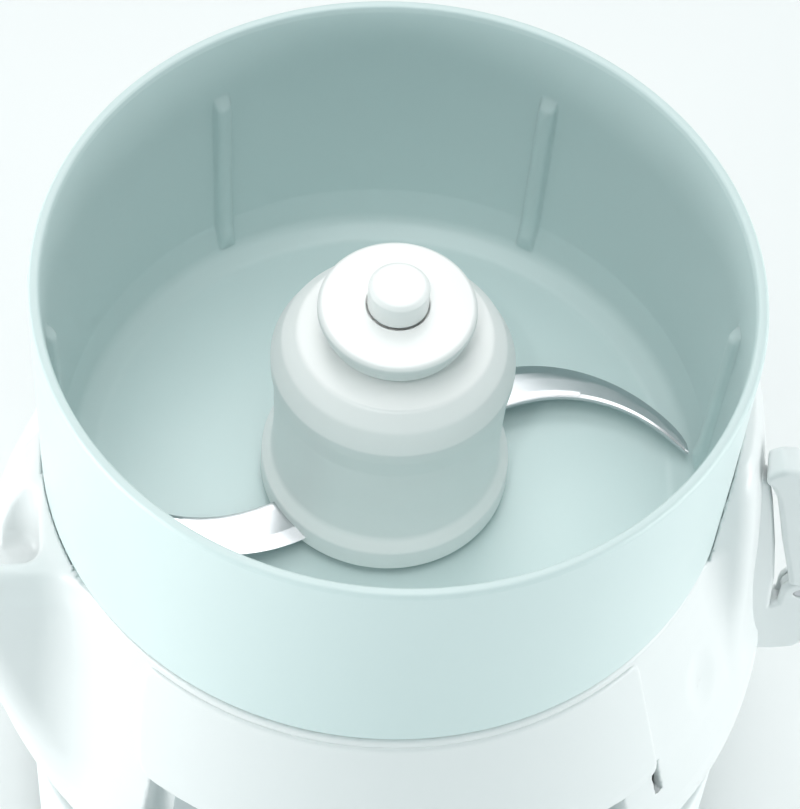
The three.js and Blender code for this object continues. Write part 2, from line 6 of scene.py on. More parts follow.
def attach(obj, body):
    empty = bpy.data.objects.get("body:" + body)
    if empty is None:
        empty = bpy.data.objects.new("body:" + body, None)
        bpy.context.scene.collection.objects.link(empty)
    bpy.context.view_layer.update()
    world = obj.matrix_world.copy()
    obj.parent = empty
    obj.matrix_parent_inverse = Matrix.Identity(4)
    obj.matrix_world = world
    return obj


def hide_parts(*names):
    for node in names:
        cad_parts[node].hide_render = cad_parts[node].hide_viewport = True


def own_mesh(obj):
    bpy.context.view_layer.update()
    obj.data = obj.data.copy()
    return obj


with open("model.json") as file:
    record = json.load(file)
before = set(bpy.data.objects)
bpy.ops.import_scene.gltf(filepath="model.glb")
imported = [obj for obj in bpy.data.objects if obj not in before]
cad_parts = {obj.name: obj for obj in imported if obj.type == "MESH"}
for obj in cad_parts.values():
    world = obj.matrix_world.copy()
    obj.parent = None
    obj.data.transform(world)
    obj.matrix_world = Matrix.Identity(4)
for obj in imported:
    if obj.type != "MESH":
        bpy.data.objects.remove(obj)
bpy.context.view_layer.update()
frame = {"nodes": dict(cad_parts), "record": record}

MM = 0.001
D = math.pi / 180
rng = np.random.default_rng(7)

# ------------------------------------------------------------------ camera
def make_camera():
    cam = bpy.data.cameras.new("cam")
    ob = bpy.data.objects.new("cam", cam)
    bpy.context.collection.objects.link(ob)
    pos = np.array([-57.75, -549.43, 735.39 + 258.0]) * MM
    fwd = np.array([0.06282, 0.56295, -0.8241])
    up = np.array([-0.00222, 0.82581, 0.56395])
    fwd /= np.linalg.norm(fwd)
    right = np.cross(fwd, up); right /= np.linalg.norm(right)
    up = np.cross(right, fwd)
    m = Matrix(((right[0], up[0], -fwd[0], pos[0]), (right[1], up[1], -fwd[1], pos[1]), (right[2], up[2], -fwd[2], pos[2]), (0, 0, 0, 1)))
    ob.matrix_world = m
    cam.sensor_fit = 'AUTO'
    cam.sensor_width = 36.0
    cam.lens = 3000.0 * 36.0 / 809.0
    cam.clip_start = 0.01
    cam.clip_end = 20
    bpy.context.scene.camera = ob
    return ob

make_camera()

# ------------------------------------------------------------------ mesh helpers
def add_mesh(name, verts_mm, faces, body, node=None, smooth=True, mat=None, sharp=None):
    me = bpy.data.meshes.new(name)
    v = (np.asarray(verts_mm, dtype=np.float64) * MM)
    me.from_pydata([tuple(p) for p in v], [], faces)
    me.validate()
    me.update()
    ob = bpy.data.objects.new(name, me)
    bpy.context.collection.objects.link(ob)
    if smooth:
        me.polygons.foreach_set("use_smooth", [True] * len(me.polygons))
    if sharp is not None:
        bpy.context.view_layer.objects.active = ob
        for o in bpy.context.selected_objects:
            o.select_set(False)
        ob.select_set(True)
        bpy.ops.object.shade_smooth_by_angle(angle=sharp * D)
        ob.select_set(False)
    if mat is not None:
        me.materials.append(mat)
    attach(ob, body)
    if node:
        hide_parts(*(node if isinstance(node, (list, tuple)) else [node]))
    return ob


def fast_mesh(name, V, Q, body, node=None, mat=None, nrm=None):
    """quads from arrays, V in mm"""
    me = bpy.data.meshes.new(name)
    V = np.asarray(V, dtype=np.float32) * MM
    Q = np.asarray(Q, dtype=np.int32)
    me.vertices.add(len(V)); me.vertices.foreach_set("co", V.ravel())
    me.loops.add(Q.size); me.loops.foreach_set("vertex_index", Q.ravel())
    me.polygons.add(len(Q))
    me.polygons.foreach_set("loop_start", np.arange(0, Q.size, Q.shape[1], dtype=np.int32))
    me.polygons.foreach_set("loop_total", np.full(len(Q), Q.shape[1], dtype=np.int32))
    me.update(calc_edges=True)
    changed = me.validate()
    me.polygons.foreach_set("use_smooth", [True] * len(me.polygons))
    if nrm is not None and not changed:
        me.normals_split_custom_set_from_vertices(np.asarray(nrm, dtype=np.float32).tolist())
    ob = bpy.data.objects.new(name, me)
    bpy.context.collection.objects.link(ob)
    if mat is not None:
        me.materials.append(mat)
    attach(ob, body)
    if node:
        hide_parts(*(node if isinstance(node, (list, tuple)) else [node]))
    return ob


def fillet(points, closed=False):
    """points: (r, z, radius) -> polyline with round corners"""
    pts = [np.array(p[:2], float) for p in points]
    rad = [p[2] if len(p) > 2 else 0 for p in points]
    n = len(pts)
    out = []
    for i in range(n):
        if rad[i] <= 0 or (not closed and i in (0, n - 1)):
            out.append(pts[i]); continue
        a, b, c = pts[i - 1], pts[i], pts[(i + 1) % n]
        u = a - b; w = c - b
        lu, lw = np.linalg.norm(u), np.linalg.norm(w)
        u /= lu; w /= lw
        ang = math.acos(max(-1, min(1, float(u @ w))))
        if ang > math.pi - 0.02:
            out.append(b); continue
        t = rad[i] / math.tan(ang / 2)
        t = min(t, lu * 0.49, lw * 0.49)
        r = t * math.tan(ang / 2)
        bis = (u + w); bis /= np.linalg.norm(bis)
        cen = b + bis * (r / math.sin(ang / 2))
        p0, p1 = b + u * t, b + w * t
        a0 = math.atan2(*(p0 - cen)[::-1]); a1 = math.atan2(*(p1 - cen)[::-1])
        d = (a1 - a0 + math.pi) % (2 * math.pi) - math.pi
        k = max(3, int(abs(d) / (9 * D)) + 1)
        for j in range(k + 1):
            q = a0 + d * j / k
            out.append(cen + r * np.array([math.cos(q), math.sin(q)]))
    return np.array(out)


def refine(poly, step):
    out = [poly[0]]
    for a, b in zip(poly[:-1], poly[1:]):
        L = np.linalg.norm(b - a)
        k = max(1, int(math.ceil(L / step)))
        for j in range(1, k + 1):
            out.append(a + (b - a) * j / k)
    return np.array(out)


def revolve(poly, phis, disp=None, oval=None):
    """poly (n,2) in r,z; returns V, Q quads, closed round; points on the axis are merged"""
    n, m = len(poly), len(phis)
    V = []
    idx = np.zeros((n, m), int)
    c = 0
    for i, (r, z) in enumerate(poly):
        if r < 1e-6:
            V.append((0, 0, z)); idx[i, :] = c; c += 1
        else:
            rr = np.full(m, r); zz = np.full(m, z)
            if disp is not None:
                rr, zz = disp(i, rr, zz, phis)
            x = rr * np.cos(phis); y = rr * np.sin(phis)
            if oval is not None:
                x, y = oval(i, x, y)
            V.extend(np.stack([x, y, zz], 1)); idx[i, :] = np.arange(c, c + m); c += m
    F = []
    for i in range(n - 1):
        a, b = idx[i], idx[i + 1]
        same_a, same_b = a[0] == a[1], b[0] == b[1]
        if same_a and same_b:
            continue
        for j in range(m):
            k = (j + 1) % m
            if same_a:
                F.append((a[j], b[k], b[j]))
            elif same_b:
                F.append((a[j], a[k], b[j]))
            else:
                F.append((a[j], a[k], b[k], b[j]))
    return V, F


def round_phis(n=192):
    return np.linspace(0, 2 * math.pi, n, endpoint=False)

# ------------------------------------------------------------------ distance-field helpers
def polyline_sdf_table(poly, lo, hi, h):
    """signed distance (negative inside) of a closed outline on a regular grid"""
    xs = np.arange(lo[0], hi[0] + h, h); ys = np.arange(lo[1], hi[1] + h, h)
    X, Y = np.meshgrid(xs, ys, indexing='ij')
    P = np.stack([X.ravel(), Y.ravel()], 1).astype(np.float32)
    best = np.full(len(P), 1e9, np.float32)
    inside = np.zeros(len(P), bool)
    a = poly.astype(np.float32); b = np.roll(a, -1, axis=0)
    for (x0, y0), (x1, y1) in zip(a, b):
        dx, dy = x1 - x0, y1 - y0
        L = dx * dx + dy * dy
        if L < 1e-12:
            continue
        t = np.clip(((P[:, 0] - x0) * dx + (P[:, 1] - y0) * dy) / L, 0, 1)
        d = (P[:, 0] - x0 - t * dx) ** 2 + (P[:, 1] - y0 - t * dy) ** 2
        best = np.minimum(best, d)
        if y0 != y1:
            cond = (P[:, 1] >= min(y0, y1)) & (P[:, 1] < max(y0, y1))
            xi = x0 + (P[:, 1] - y0) * dx / dy
            inside ^= cond & (P[:, 0] < xi)
    s = np.sqrt(best)
    s[inside] *= -1
    T = s.reshape(X.shape)

    def f(x, y):
        u = np.clip((x - lo[0]) / h, 0, T.shape[0] - 1.001); v = np.clip((y - lo[1]) / h, 0, T.shape[1] - 1.001)
        i = u.astype(np.int32); j = v.astype(np.int32); u = u - i; v = v - j
        return (T[i, j] * (1 - u) + T[i + 1, j] * u) * (1 - v) + (T[i, j + 1] * (1 - u) + T[i + 1, j + 1] * u) * v
    return f


def smin(a, b, k):
    h = np.maximum(k - np.abs(a - b), 0) / k
    return np.minimum(a, b) - h * h * k * 0.25


def smax(a, b, k):
    return -smin(-a, -b, k)


def nets(f, lo, hi, h, newton=3):
    """smooth surface of f = 0 as quads (surface nets, vertices pulled onto the surface)"""
    lo = np.array(lo, float); n = np.ceil((np.array(hi) - lo) / h).astype(int) + 1
    xs = lo[0] + h * np.arange(n[0]); ys = lo[1] + h * np.arange(n[1]); zs = lo[2] + h * np.arange(n[2])
    Vv = np.empty(tuple(n), np.float32)
    YY, ZZ = np.meshgrid(ys.astype(np.float32), zs.astype(np.float32), indexing='ij')
    step = max(1, int(600000 // YY.size))
    for i in range(0, n[0], step):
        xx = xs[i:i + step].astype(np.float32)
        X = np.repeat(xx, YY.size); Y = np.tile(YY.ravel(), len(xx)); Z = np.tile(ZZ.ravel(), len(xx))
        Vv[i:i + step] = f(X, Y, Z).reshape(len(xx), n[1], n[2])
    S = Vv < 0
    c = S[:-1, :-1, :-1].astype(np.int8)
    cnt = np.zeros(c.shape, np.int8)
    for dx in (0, 1):
        for dy in (0, 1):
            for dz in (0, 1):
                cnt += S[dx:n[0] - 1 + dx, dy:n[1] - 1 + dy, dz:n[2] - 1 + dz]
    act = (cnt > 0) & (cnt < 8)
    ids = np.full(act.shape, -1, np.int32)
    ai = np.argwhere(act)
    ids[act] = np.arange(len(ai), dtype=np.int32)
    corners = np.array([(0, 0, 0), (1, 0, 0), (0, 1, 0), (1, 1, 0), (0, 0, 1), (1, 0, 1), (0, 1, 1), (1, 1, 1)])
    vals = np.stack([Vv[ai[:, 0] + a, ai[:, 1] + b, ai[:, 2] + d] for a, b, d in corners], 1)
    acc = np.zeros((len(ai), 3)); num = np.zeros(len(ai))
    for a, b in ((0, 1), (2, 3), (4, 5), (6, 7), (0, 2), (1, 3), (4, 6), (5, 7), (0, 4), (1, 5), (2, 6), (3, 7)):
        va, vb = vals[:, a], vals[:, b]
        m = (va < 0) != (vb < 0)
        t = np.where(m, va / np.where(m, va - vb, 1), 0)
        p = corners[a] + (corners[b] - corners[a]) * t[:, None]
        acc += p * m[:, None]; num += m
    P = lo + (ai + acc / num[:, None]) * h
    for _ in range(newton):
        e = 0.15
        x, y, z = (P[:, i].astype(np.float32) for i in range(3))
        v = f(x, y, z)
        g = np.stack([f(x + e, y, z) - f(x - e, y, z), f(x, y + e, z) - f(x, y - e, z), f(x, y, z + e) - f(x, y, z - e)], 1) / (2 * e)
        L = np.maximum((g ** 2).sum(1), 0.05)
        d = -(v / L)[:, None] * g
        ln = np.linalg.norm(d, axis=1); d *= np.minimum(1, 0.6 * h / np.maximum(ln, 1e-9))[:, None]
        P = P + d
    quads = []
    for ax in range(3):
        sl0 = [slice(None)] * 3; sl1 = [slice(None)] * 3
        sl0[ax] = slice(0, -1); sl1[ax] = slice(1, None)
        A, B = S[tuple(sl0)], S[tuple(sl1)]
        E = np.argwhere(A != B)
        o1, o2 = [(1, 2), (2, 0), (0, 1)][ax]
        ok = (E[:, o1] > 0) & (E[:, o2] > 0) & (E[:, o1] < n[o1] - 1) & (E[:, o2] < n[o2] - 1)
        E = E[ok]
        def cell(d1, d2):
            q = E.copy(); q[:, o1] -= d1; q[:, o2] -= d2
            return ids[q[:, 0], q[:, 1], q[:, 2]]
        q = np.stack([cell(1, 1), cell(0, 1), cell(0, 0), cell(1, 0)], 1)
        flip = ~A[E[:, 0], E[:, 1], E[:, 2]]
        q[flip] = q[flip][:, ::-1]
        quads.append(q)
    Q = np.concatenate(quads)
    e = 0.3
    x, y, z = (P[:, i].astype(np.float32) for i in range(3))
    g = np.stack([f(x + e, y, z) - f(x - e, y, z), f(x, y + e, z) - f(x, y - e, z), f(x, y, z + e) - f(x, y, z - e)], 1)
    g /= np.maximum(np.linalg.norm(g, axis=1), 1e-6)[:, None]
    return P, Q, g

# ------------------------------------------------------------------ materials
def plastic(name, col, rough, bump=0.02, scale=900.0, tint=None, coat=0.0, wear=0.0, spec=0.5, grain=0.0, sss=0.0, dust=0.0):
    m = bpy.data.materials.new(name); m.use_nodes = True
    nt = m.node_tree; N = nt.nodes; L = nt.links
    bs = N["Principled BSDF"]
    tc = N.new("ShaderNodeTexCoord")
    big = N.new("ShaderNodeTexNoise"); big.inputs["Scale"].default_value = 11.0; big.inputs["Detail"].default_value = 0.5
    L.new(tc.outputs["Object"], big.inputs["Vector"])
    mix = N.new("ShaderNodeMix"); mix.data_type = 'RGBA'
    mix.inputs["A"].default_value = (*col, 1)
    t = tint or tuple(c * 0.955 for c in col)
    mix.inputs["B"].default_value = (*t, 1)
    rm = N.new("ShaderNodeMapRange"); rm.inputs["From Min"].default_value = 0.15; rm.inputs["From Max"].default_value = 0.85
    rm.interpolation_type = 'SMOOTHSTEP'
    L.new(big.outputs["Fac"], rm.inputs["Value"])
    L.new(rm.outputs["Result"], mix.inputs["Factor"])
    last = mix.outputs["Result"]
    geo = N.new("ShaderNodeNewGeometry")
    if wear > 0:
        # polished or scuffed edges: pointiness picks out convex edges
        edge = N.new("ShaderNodeMapRange"); edge.inputs["From Min"].default_value = 0.56; edge.inputs["From Max"].default_value = 0.70
        L.new(geo.outputs["Pointiness"], edge.inputs["Value"])
        fine = N.new("ShaderNodeTexNoise"); fine.inputs["Scale"].default_value = 130.0; fine.inputs["Detail"].default_value = 5
        L.new(tc.outputs["Object"], fine.inputs["Vector"])
        mul = N.new("ShaderNodeMath"); mul.operation = 'MULTIPLY'
        fr = N.new("ShaderNodeMapRange"); fr.inputs["To Min"].default_value = 0.55; fr.inputs["To Max"].default_value = 1.0
        L.new(fine.outputs["Fac"], fr.inputs["Value"])
        L.new(edge.outputs["Result"], mul.inputs[0]); L.new(fr.outputs["Result"], mul.inputs[1])
        m2 = N.new("ShaderNodeMix"); m2.data_type = 'RGBA'
        m2.inputs["B"].default_value = (*(min(1, c * (1 + wear)) for c in col), 1)
        L.new(last, m2.inputs["A"]); L.new(mul.outputs["Value"], m2.inputs["Factor"])
        last = m2.outputs["Result"]
    if dust > 0:
        # hollows hold a little more grime
        cav = N.new("ShaderNodeMapRange"); cav.inputs["From Min"].default_value = 0.49; cav.inputs["From Max"].default_value = 0.42
        L.new(geo.outputs["Pointiness"], cav.inputs["Value"])
        m3 = N.new("ShaderNodeMix"); m3.data_type = 'RGBA'
        m3.inputs["B"].default_value = (*(c * (1 - dust) for c in col), 1)
        L.new(last, m3.inputs["A"]); L.new(cav.outputs["Result"], m3.inputs["Factor"])
        last = m3.outputs["Result"]
    L.new(last, bs.inputs["Base Color"])
    # roughness: slow smudges plus fine moulding texture
    sm = N.new("ShaderNodeTexNoise"); sm.inputs["Scale"].default_value = 28.0; sm.inputs["Detail"].default_value = 2; sm.inputs["Roughness"].default_value = 0.5
    L.new(tc.outputs["Object"], sm.inputs["Vector"])
    rr = N.new("ShaderNodeMapRange"); rr.inputs["From Min"].default_value = 0.1; rr.inputs["From Max"].default_value = 0.9
    rr.interpolation_type = 'SMOOTHSTEP'
    rr.inputs["To Min"].default_value = max(0.02, rough * 0.88); rr.inputs["To Max"].default_value = min(1, rough * 1.15)
    L.new(sm.outputs["Fac"], rr.inputs["Value"]); L.new(rr.outputs["Result"], bs.inputs["Roughness"])
    bn = N.new("ShaderNodeTexNoise"); bn.inputs["Scale"].default_value = scale; bn.inputs["Detail"].default_value = 3
    L.new(tc.outputs["Object"], bn.inputs["Vector"])
    wav = N.new("ShaderNodeTexNoise"); wav.inputs["Scale"].default_value = 60.0; wav.inputs["Detail"].default_value = 1
    L.new(tc.outputs["Object"], wav.inputs["Vector"])
    ad = N.new("ShaderNodeMath"); ad.operation = 'MULTIPLY_ADD'; ad.inputs[1].default_value = 0.12 if grain == 0 else grain
    L.new(bn.outputs["Fac"], ad.inputs[0]); L.new(wav.outputs["Fac"], ad.inputs[2])
    bp = N.new("ShaderNodeBump"); bp.inputs["Strength"].default_value = bump; bp.inputs["Distance"].default_value = 0.0006
    L.new(ad.outputs["Value"], bp.inputs["Height"]); L.new(bp.outputs["Normal"], bs.inputs["Normal"])
    bs.inputs["Specular IOR Level"].default_value = spec
    bs.inputs["IOR"].default_value = 1.5
    if coat > 0:
        bs.inputs["Coat Weight"].default_value = coat
        bs.inputs["Coat Roughness"].default_value = 0.08
    if sss > 0:
        bs.inputs["Subsurface Weight"].default_value = sss
        bs.inputs["Subsurface Radius"].default_value = (0.004, 0.005, 0.005)
        bs.inputs["Subsurface Scale"].default_value = 0.6
    return m


def metal(name, col, rough, brushed=None, bump=0.05, aniso=0.0, var=0.12):
    m = bpy.data.materials.new(name); m.use_nodes = True
    nt = m.node_tree; N = nt.nodes; L = nt.links
    bs = N["Principled BSDF"]
    bs.inputs["Metallic"].default_value = 1.0
    tc = N.new("ShaderNodeTexCoord"); mp = N.new("ShaderNodeMapping")
    if brushed == 'round':
        # turning marks round the Z axis: noise of radius and height
        sep = N.new("ShaderNodeSeparateXYZ"); L.new(tc.outputs["Object"], sep.inputs[0])
        xx = N.new("ShaderNodeMath"); xx.operation = 'POWER'; xx.inputs[1].default_value = 2; L.new(sep.outputs[0], xx.inputs[0])
        yy = N.new("ShaderNodeMath"); yy.operation = 'POWER'; yy.inputs[1].default_value = 2; L.new(sep.outputs[1], yy.inputs[0])
        ss = N.new("ShaderNodeMath"); ss.operation = 'ADD'; L.new(xx.outputs[0], ss.inputs[0]); L.new(yy.outputs[0], ss.inputs[1])
        rt = N.new("ShaderNodeMath"); rt.operation = 'SQRT'; L.new(ss.outputs[0], rt.inputs[0])
        cmb = N.new("ShaderNodeCombineXYZ"); L.new(rt.outputs[0], cmb.inputs[0]); L.new(sep.outputs[2], cmb.inputs[2])
        L.new(cmb.outputs[0], mp.inputs["Vector"]); mp.inputs["Scale"].default_value = (1, 1, 1)
        sc = 2200.0
    else:
        L.new(tc.outputs["Object"], mp.inputs["Vector"])
        mp.inputs["Scale"].default_value = brushed or (1, 1, 1)
        sc = 60.0 if brushed else 220.0
    no = N.new("ShaderNodeTexNoise"); no.inputs["Scale"].default_value = sc; no.inputs["Detail"].default_value = 5; no.inputs["Roughness"].default_value = 0.7
    L.new(mp.outputs["Vector"], no.inputs["Vector"])
    big = N.new("ShaderNodeTexNoise"); big.inputs["Scale"].default_value = 40; L.new(tc.outputs["Object"], big.inputs["Vector"])
    mix = N.new("ShaderNodeMix"); mix.data_type = 'RGBA'
    mix.inputs["A"].default_value = (*col, 1); mix.inputs["B"].default_value = (*(c * (1 - var) for c in col), 1)
    L.new(big.outputs["Fac"], mix.inputs["Factor"]); L.new(mix.outputs["Result"], bs.inputs["Base Color"])
    rr = N.new("ShaderNodeMapRange"); rr.inputs["To Min"].default_value = rough * 0.86; rr.inputs["To Max"].default_value = min(1, rough * 1.2)
    L.new(no.outputs["Fac"], rr.inputs["Value"]); L.new(rr.outputs["Result"], bs.inputs["Roughness"])
    bp = N.new("ShaderNodeBump"); bp.inputs["Strength"].default_value = bump; bp.inputs["Distance"].default_value = 0.0003
    L.new(no.outputs["Fac"], bp.inputs["Height"]); L.new(bp.outputs["Normal"], bs.inputs["Normal"])
    if aniso:
        bs.inputs["Anisotropic"].default_value = aniso
    return m


# bowl colour: white plastic, darker and more teal than the housing; the darkness and teal tint are partly painted shade
# of the bowl wall
BOWL_M = plastic("bowl_plastic", (0.672, 0.79, 0.785), 0.33, bump=0.015, scale=520, tint=(0.664, 0.783, 0.778), spec=0.5, wear=0.05, sss=0.0)
BODY_M = plastic("housing_plastic", (0.825, 0.85, 0.85), 0.33, bump=0.02, scale=520, tint=(0.817, 0.843, 0.843), spec=0.5, wear=0.05)
BASE_M = plastic("base_plastic", (0.86, 0.90, 0.90), 0.34, bump=0.05, scale=600, tint=(0.85, 0.89, 0.89), wear=0.05)
HUB_M = plastic("hub_plastic", (0.93, 0.935, 0.925), 0.33, bump=0.015, scale=520, tint=(0.922, 0.928, 0.918), wear=0.04)
CTRL_M = plastic("control_plastic", (0.40, 0.45, 0.46), 0.42, bump=0.15, scale=1900, wear=0.18)
PLATE_M = plastic("plate_plastic", (0.27, 0.29, 0.30), 0.6, bump=0.35, scale=1500, wear=0.15)
RUBBER_M = plastic("rubber", (0.035, 0.036, 0.038), 0.75, bump=0.4, scale=1200, wear=0.3)
BELT_M = plastic("pulley_plastic", (0.055, 0.058, 0.06), 0.5, bump=0.2, scale=1500, wear=0.3)
MOTOR_M = metal("motor_laminations", (0.18, 0.185, 0.19), 0.5, brushed=(1, 1, 18), bump=0.3)
BOARD_M = plastic("board", (0.03, 0.16, 0.08), 0.4, bump=0.2, scale=700)
MARK_M = plastic("scale_paint", (0.85, 0.86, 0.86), 0.5, bump=0.1, scale=2500, wear=0.05)
LAMP_M = plastic("lamp", (0.80, 0.36, 0.06), 0.15, bump=0.02, coat=0.6)
BLADE_M = metal("blade_steel", (0.66, 0.67, 0.69), 0.225, brushed=(1, 1, 1), bump=0.12)
SHAFT_M = metal("shaft_steel", (0.60, 0.61, 0.63), 0.34, brushed='round', bump=0.08)
BRONZE_M = metal("bronze", (0.60, 0.42, 0.20), 0.4, brushed='round', bump=0.1)
COPPER_M = metal("copper", (0.62, 0.28, 0.14), 0.42, brushed='round', bump=0.5)

MAT_OF_SLOT = {"bowl_white": BOWL_M, "housing_white": BODY_M, "base_white": BASE_M, "hub_white": HUB_M, "control_grey": CTRL_M,
               "plate_grey": PLATE_M, "rubber_dark": RUBBER_M, "blade_steel": BLADE_M, "shaft_steel": SHAFT_M, "motor_dark": MOTOR_M,
               "belt_pulley": BELT_M, "bearing_bronze": BRONZE_M, "winding_copper": COPPER_M, "board_green": BOARD_M, "lamp_amber": LAMP_M}
SLOT_OF = {s["node"]: s["material_slot"] for s in frame["record"]["subparts"]}
for name, ob in frame["nodes"].items():
    m = MAT_OF_SLOT[SLOT_OF[name]]
    if len(ob.material_slots):
        for sl in ob.material_slots:
            sl.link = 'OBJECT'
            sl.material = m
    else:
        ob.data.materials.append(m)

# ------------------------------------------------------------------ the work bowl
RIM = 258.0
def bowl():
    prof = fillet([
        (7.9, 222.6, 0), (22.6, 222.6, 2.2), (25.4, 218, 2.5), (27.4, 156, 5), (33, 149.6, 5), (97.0, 149.6, 7), (104.4, 153.5, 6), (107.4, 166, 8),
        (109.9, RIM - 2.2, 1.0), (110.5, RIM, 1.0), (113.1, RIM, 1.1), (113.8, RIM - 1.6, 0.9), (113.75, RIM - 6, 1), (113.3, 171.4, 1.6), (111.5, 169.5, 0.5), (110.15, 169.3, 0.2),
        (110.15, 157, 3), (108.5, 152, 3), (104, 146.6, 3), (98, 145.35, 3), (24.5, 145.35, 0.8), (22.5, 214, 4), (19, 219.2, 2), (7.9, 219.2, 0.3), (7.9, 222.6, 0)])
    # split long stretches so that the ribs have rows to stand on
    poly = [prof[0]]
    for a, b in zip(prof[:-1], prof[1:]):
        L = np.linalg.norm(b - a)
        inner = a[0] > 104 and b[0] > 104 and a[0] < 110.6 and b[0] < 110.6 and a[1] < 257 and b[1] > 160 and b[1] > a[1]
        st = 2.0 if inner else 9.0
        k = max(1, int(math.ceil(L / st)))
        for j in range(1, k + 1):
            poly.append(a + (b - a) * j / k)
    poly = np.array(poly)
    ph = []
    for i in range(6):
        c = i * 60
        ph += [c + d for d in np.linspace(-3.0, 3.0, 31)] + [c + d for d in np.arange(4.2, 56.9, 1.2)]
    ph = np.sort(np.unique(np.round(np.array(ph) % 360, 4))) * D
    zs = poly[:, 1]
    imax = int(np.argmax(zs > RIM - 0.02))

    def disp(i, rr, zz, phis):
        r, z = poly[i]
        if i < imax and r > 104.5 and 152 < z < 232:
            for k in range(6):
                dphi = (phis - k * 60 * D + math.pi) % (2 * math.pi) - math.pi
                s = dphi * 109.2                      # distance along the wall
                top = 229.8
                # rounded rib: half cylinder with a domed top
                dz = np.maximum(z - (top - 3.4), 0)
                q = 3.4 ** 2 - s ** 2 - dz ** 2
                stand = np.where(q > 0, np.sqrt(np.maximum(q, 0)) * 0.82, 0)
                foot = min(1.0, max(0.0, (z - 153) / 8))
                soft = 1.2 * np.exp(-(np.maximum(np.abs(s) - 2.2, 0) / 1.1) ** 2) * (dz <= 0) * 0.25
                rr = np.minimum(rr, r - (stand + soft) * foot)
        return rr, zz
    V, F = revolve(poly, ph, disp)
    ob = add_mesh("bowl_shell", V, F, "bowl", "bowl", mat=BOWL_M)
    return ob

# ------------------------------------------------------------------ stepped hub of the blade carrier
def hub():
    prof = fillet([
        (6.5, 231.1, 0.3), (19.4, 231.0, 0.4), (30.6, 229.3, 3.4), (35.4, 223.9, 6), (38.7, 216.4, 3.0), (38.5, 211.4, 2.6), (37.4, 203, 6), (37.1, 180, 8), (37.6, 166.6, 4), (41.0, 162.6, 2.0), (41.2, 154.2, 1.0), (40.2, 153.0, 0.8), (31.2, 153.0, 0.8), (30, 157, 1), (27.6, 218, 3), (25, 225.6, 2), (6.5, 225.6, 0.2), (6.5, 231.1, 0)])
    poly = refine(prof, 6.0)

    def oval(i, x, y):
        # the shoulder is slightly oval, long axis towards front left and back right
        r, z = poly[i]
        k = 0.012 * max(0.0, min(1.0, (z - 150) / 60)) if r > 30 and z < 230.3 else 0.0
        a = 172 * D
        u = x * math.cos(a) + y * math.sin(a); v = -x * math.sin(a) + y * math.cos(a)
        u = u * (1 + k); v = v * (1 - k)
        return u * math.cos(a) - v * math.sin(a), u * math.sin(a) + v * math.cos(a)
    V, F = revolve(poly, round_phis(180), None, oval)
    add_mesh("hub_shell", V, F, "carrier", "blade_carrier", mat=HUB_M)
    # grip disc
    prof = fillet([(9.85, 240.6, 0.2), (9.85, 243.9, 0.2), (10.3, 244.3, 0.25), (23.9, 244.3, 1.5), (25, 243.0, 1.2), (25, 241.3, 0.9), (24.4, 239.9, 1.4), (23.4, 236.4, 1.6), (22.6, 234.9, 0.9), (18.7, 234.5, 0.7),
                   (18.3, 231.5, 0.3), (6.5, 231.5, 0.3), (6.5, 240.6, 0.3), (9.85, 240.6, 0)])
    V, F = revolve(refine(prof, 4.0), round_phis(144))
    add_mesh("grip_disc_fine", V, F, "carrier", "grip_disc", mat=HUB_M)
    prof = fillet([(0, 254.5, 0), (8.2, 254.5, 1.5), (9.6, 253.0, 1.0), (9.6, 244.6, 0.4), (5.6, 244.4, 0.2), (5.6, 242.0, 0.3), (0, 242.0, 0)])
    V, F = revolve(refine(prof, 3.0), round_phis(96))
    add_mesh("release_button_fine", V, F, "release_button", "release_button", mat=HUB_M)

# ------------------------------------------------------------------ upper housing
SEAM, DECK, LIP_R, LIP_Z = 169.0, 145.0, 137.0, 80.0
FLARE = [(118, 72.0, 1), (132.5, 73.2, 3), (136.3, 75.6, 3), (137.0, 80, 3), (137.0, 87, 4), (136.0, 93.6, 5), (133.0, 101, 12), (130.2, 108.5, 16), (127.8, 118, 25), (123.2, 133, 25), (118.4, 147, 25), (115.2, 158, 20), (113.6, 165, 8), (113.1, 167.6, 1.0), (112.0, 169.0, 0.8)]

NICHE_L, NICHE_R = 37.3, 37.0
def niche_top(a):
    # the top of the recess falls from the left end to the right end
    return np.interp(a, np.array([-38, -20, 8, 36]) * D, [123.4, 121.8, 119.0, 113.0]).astype(np.float32)


def wrap(a):
    return (a + math.pi) % (2 * math.pi) - math.pi


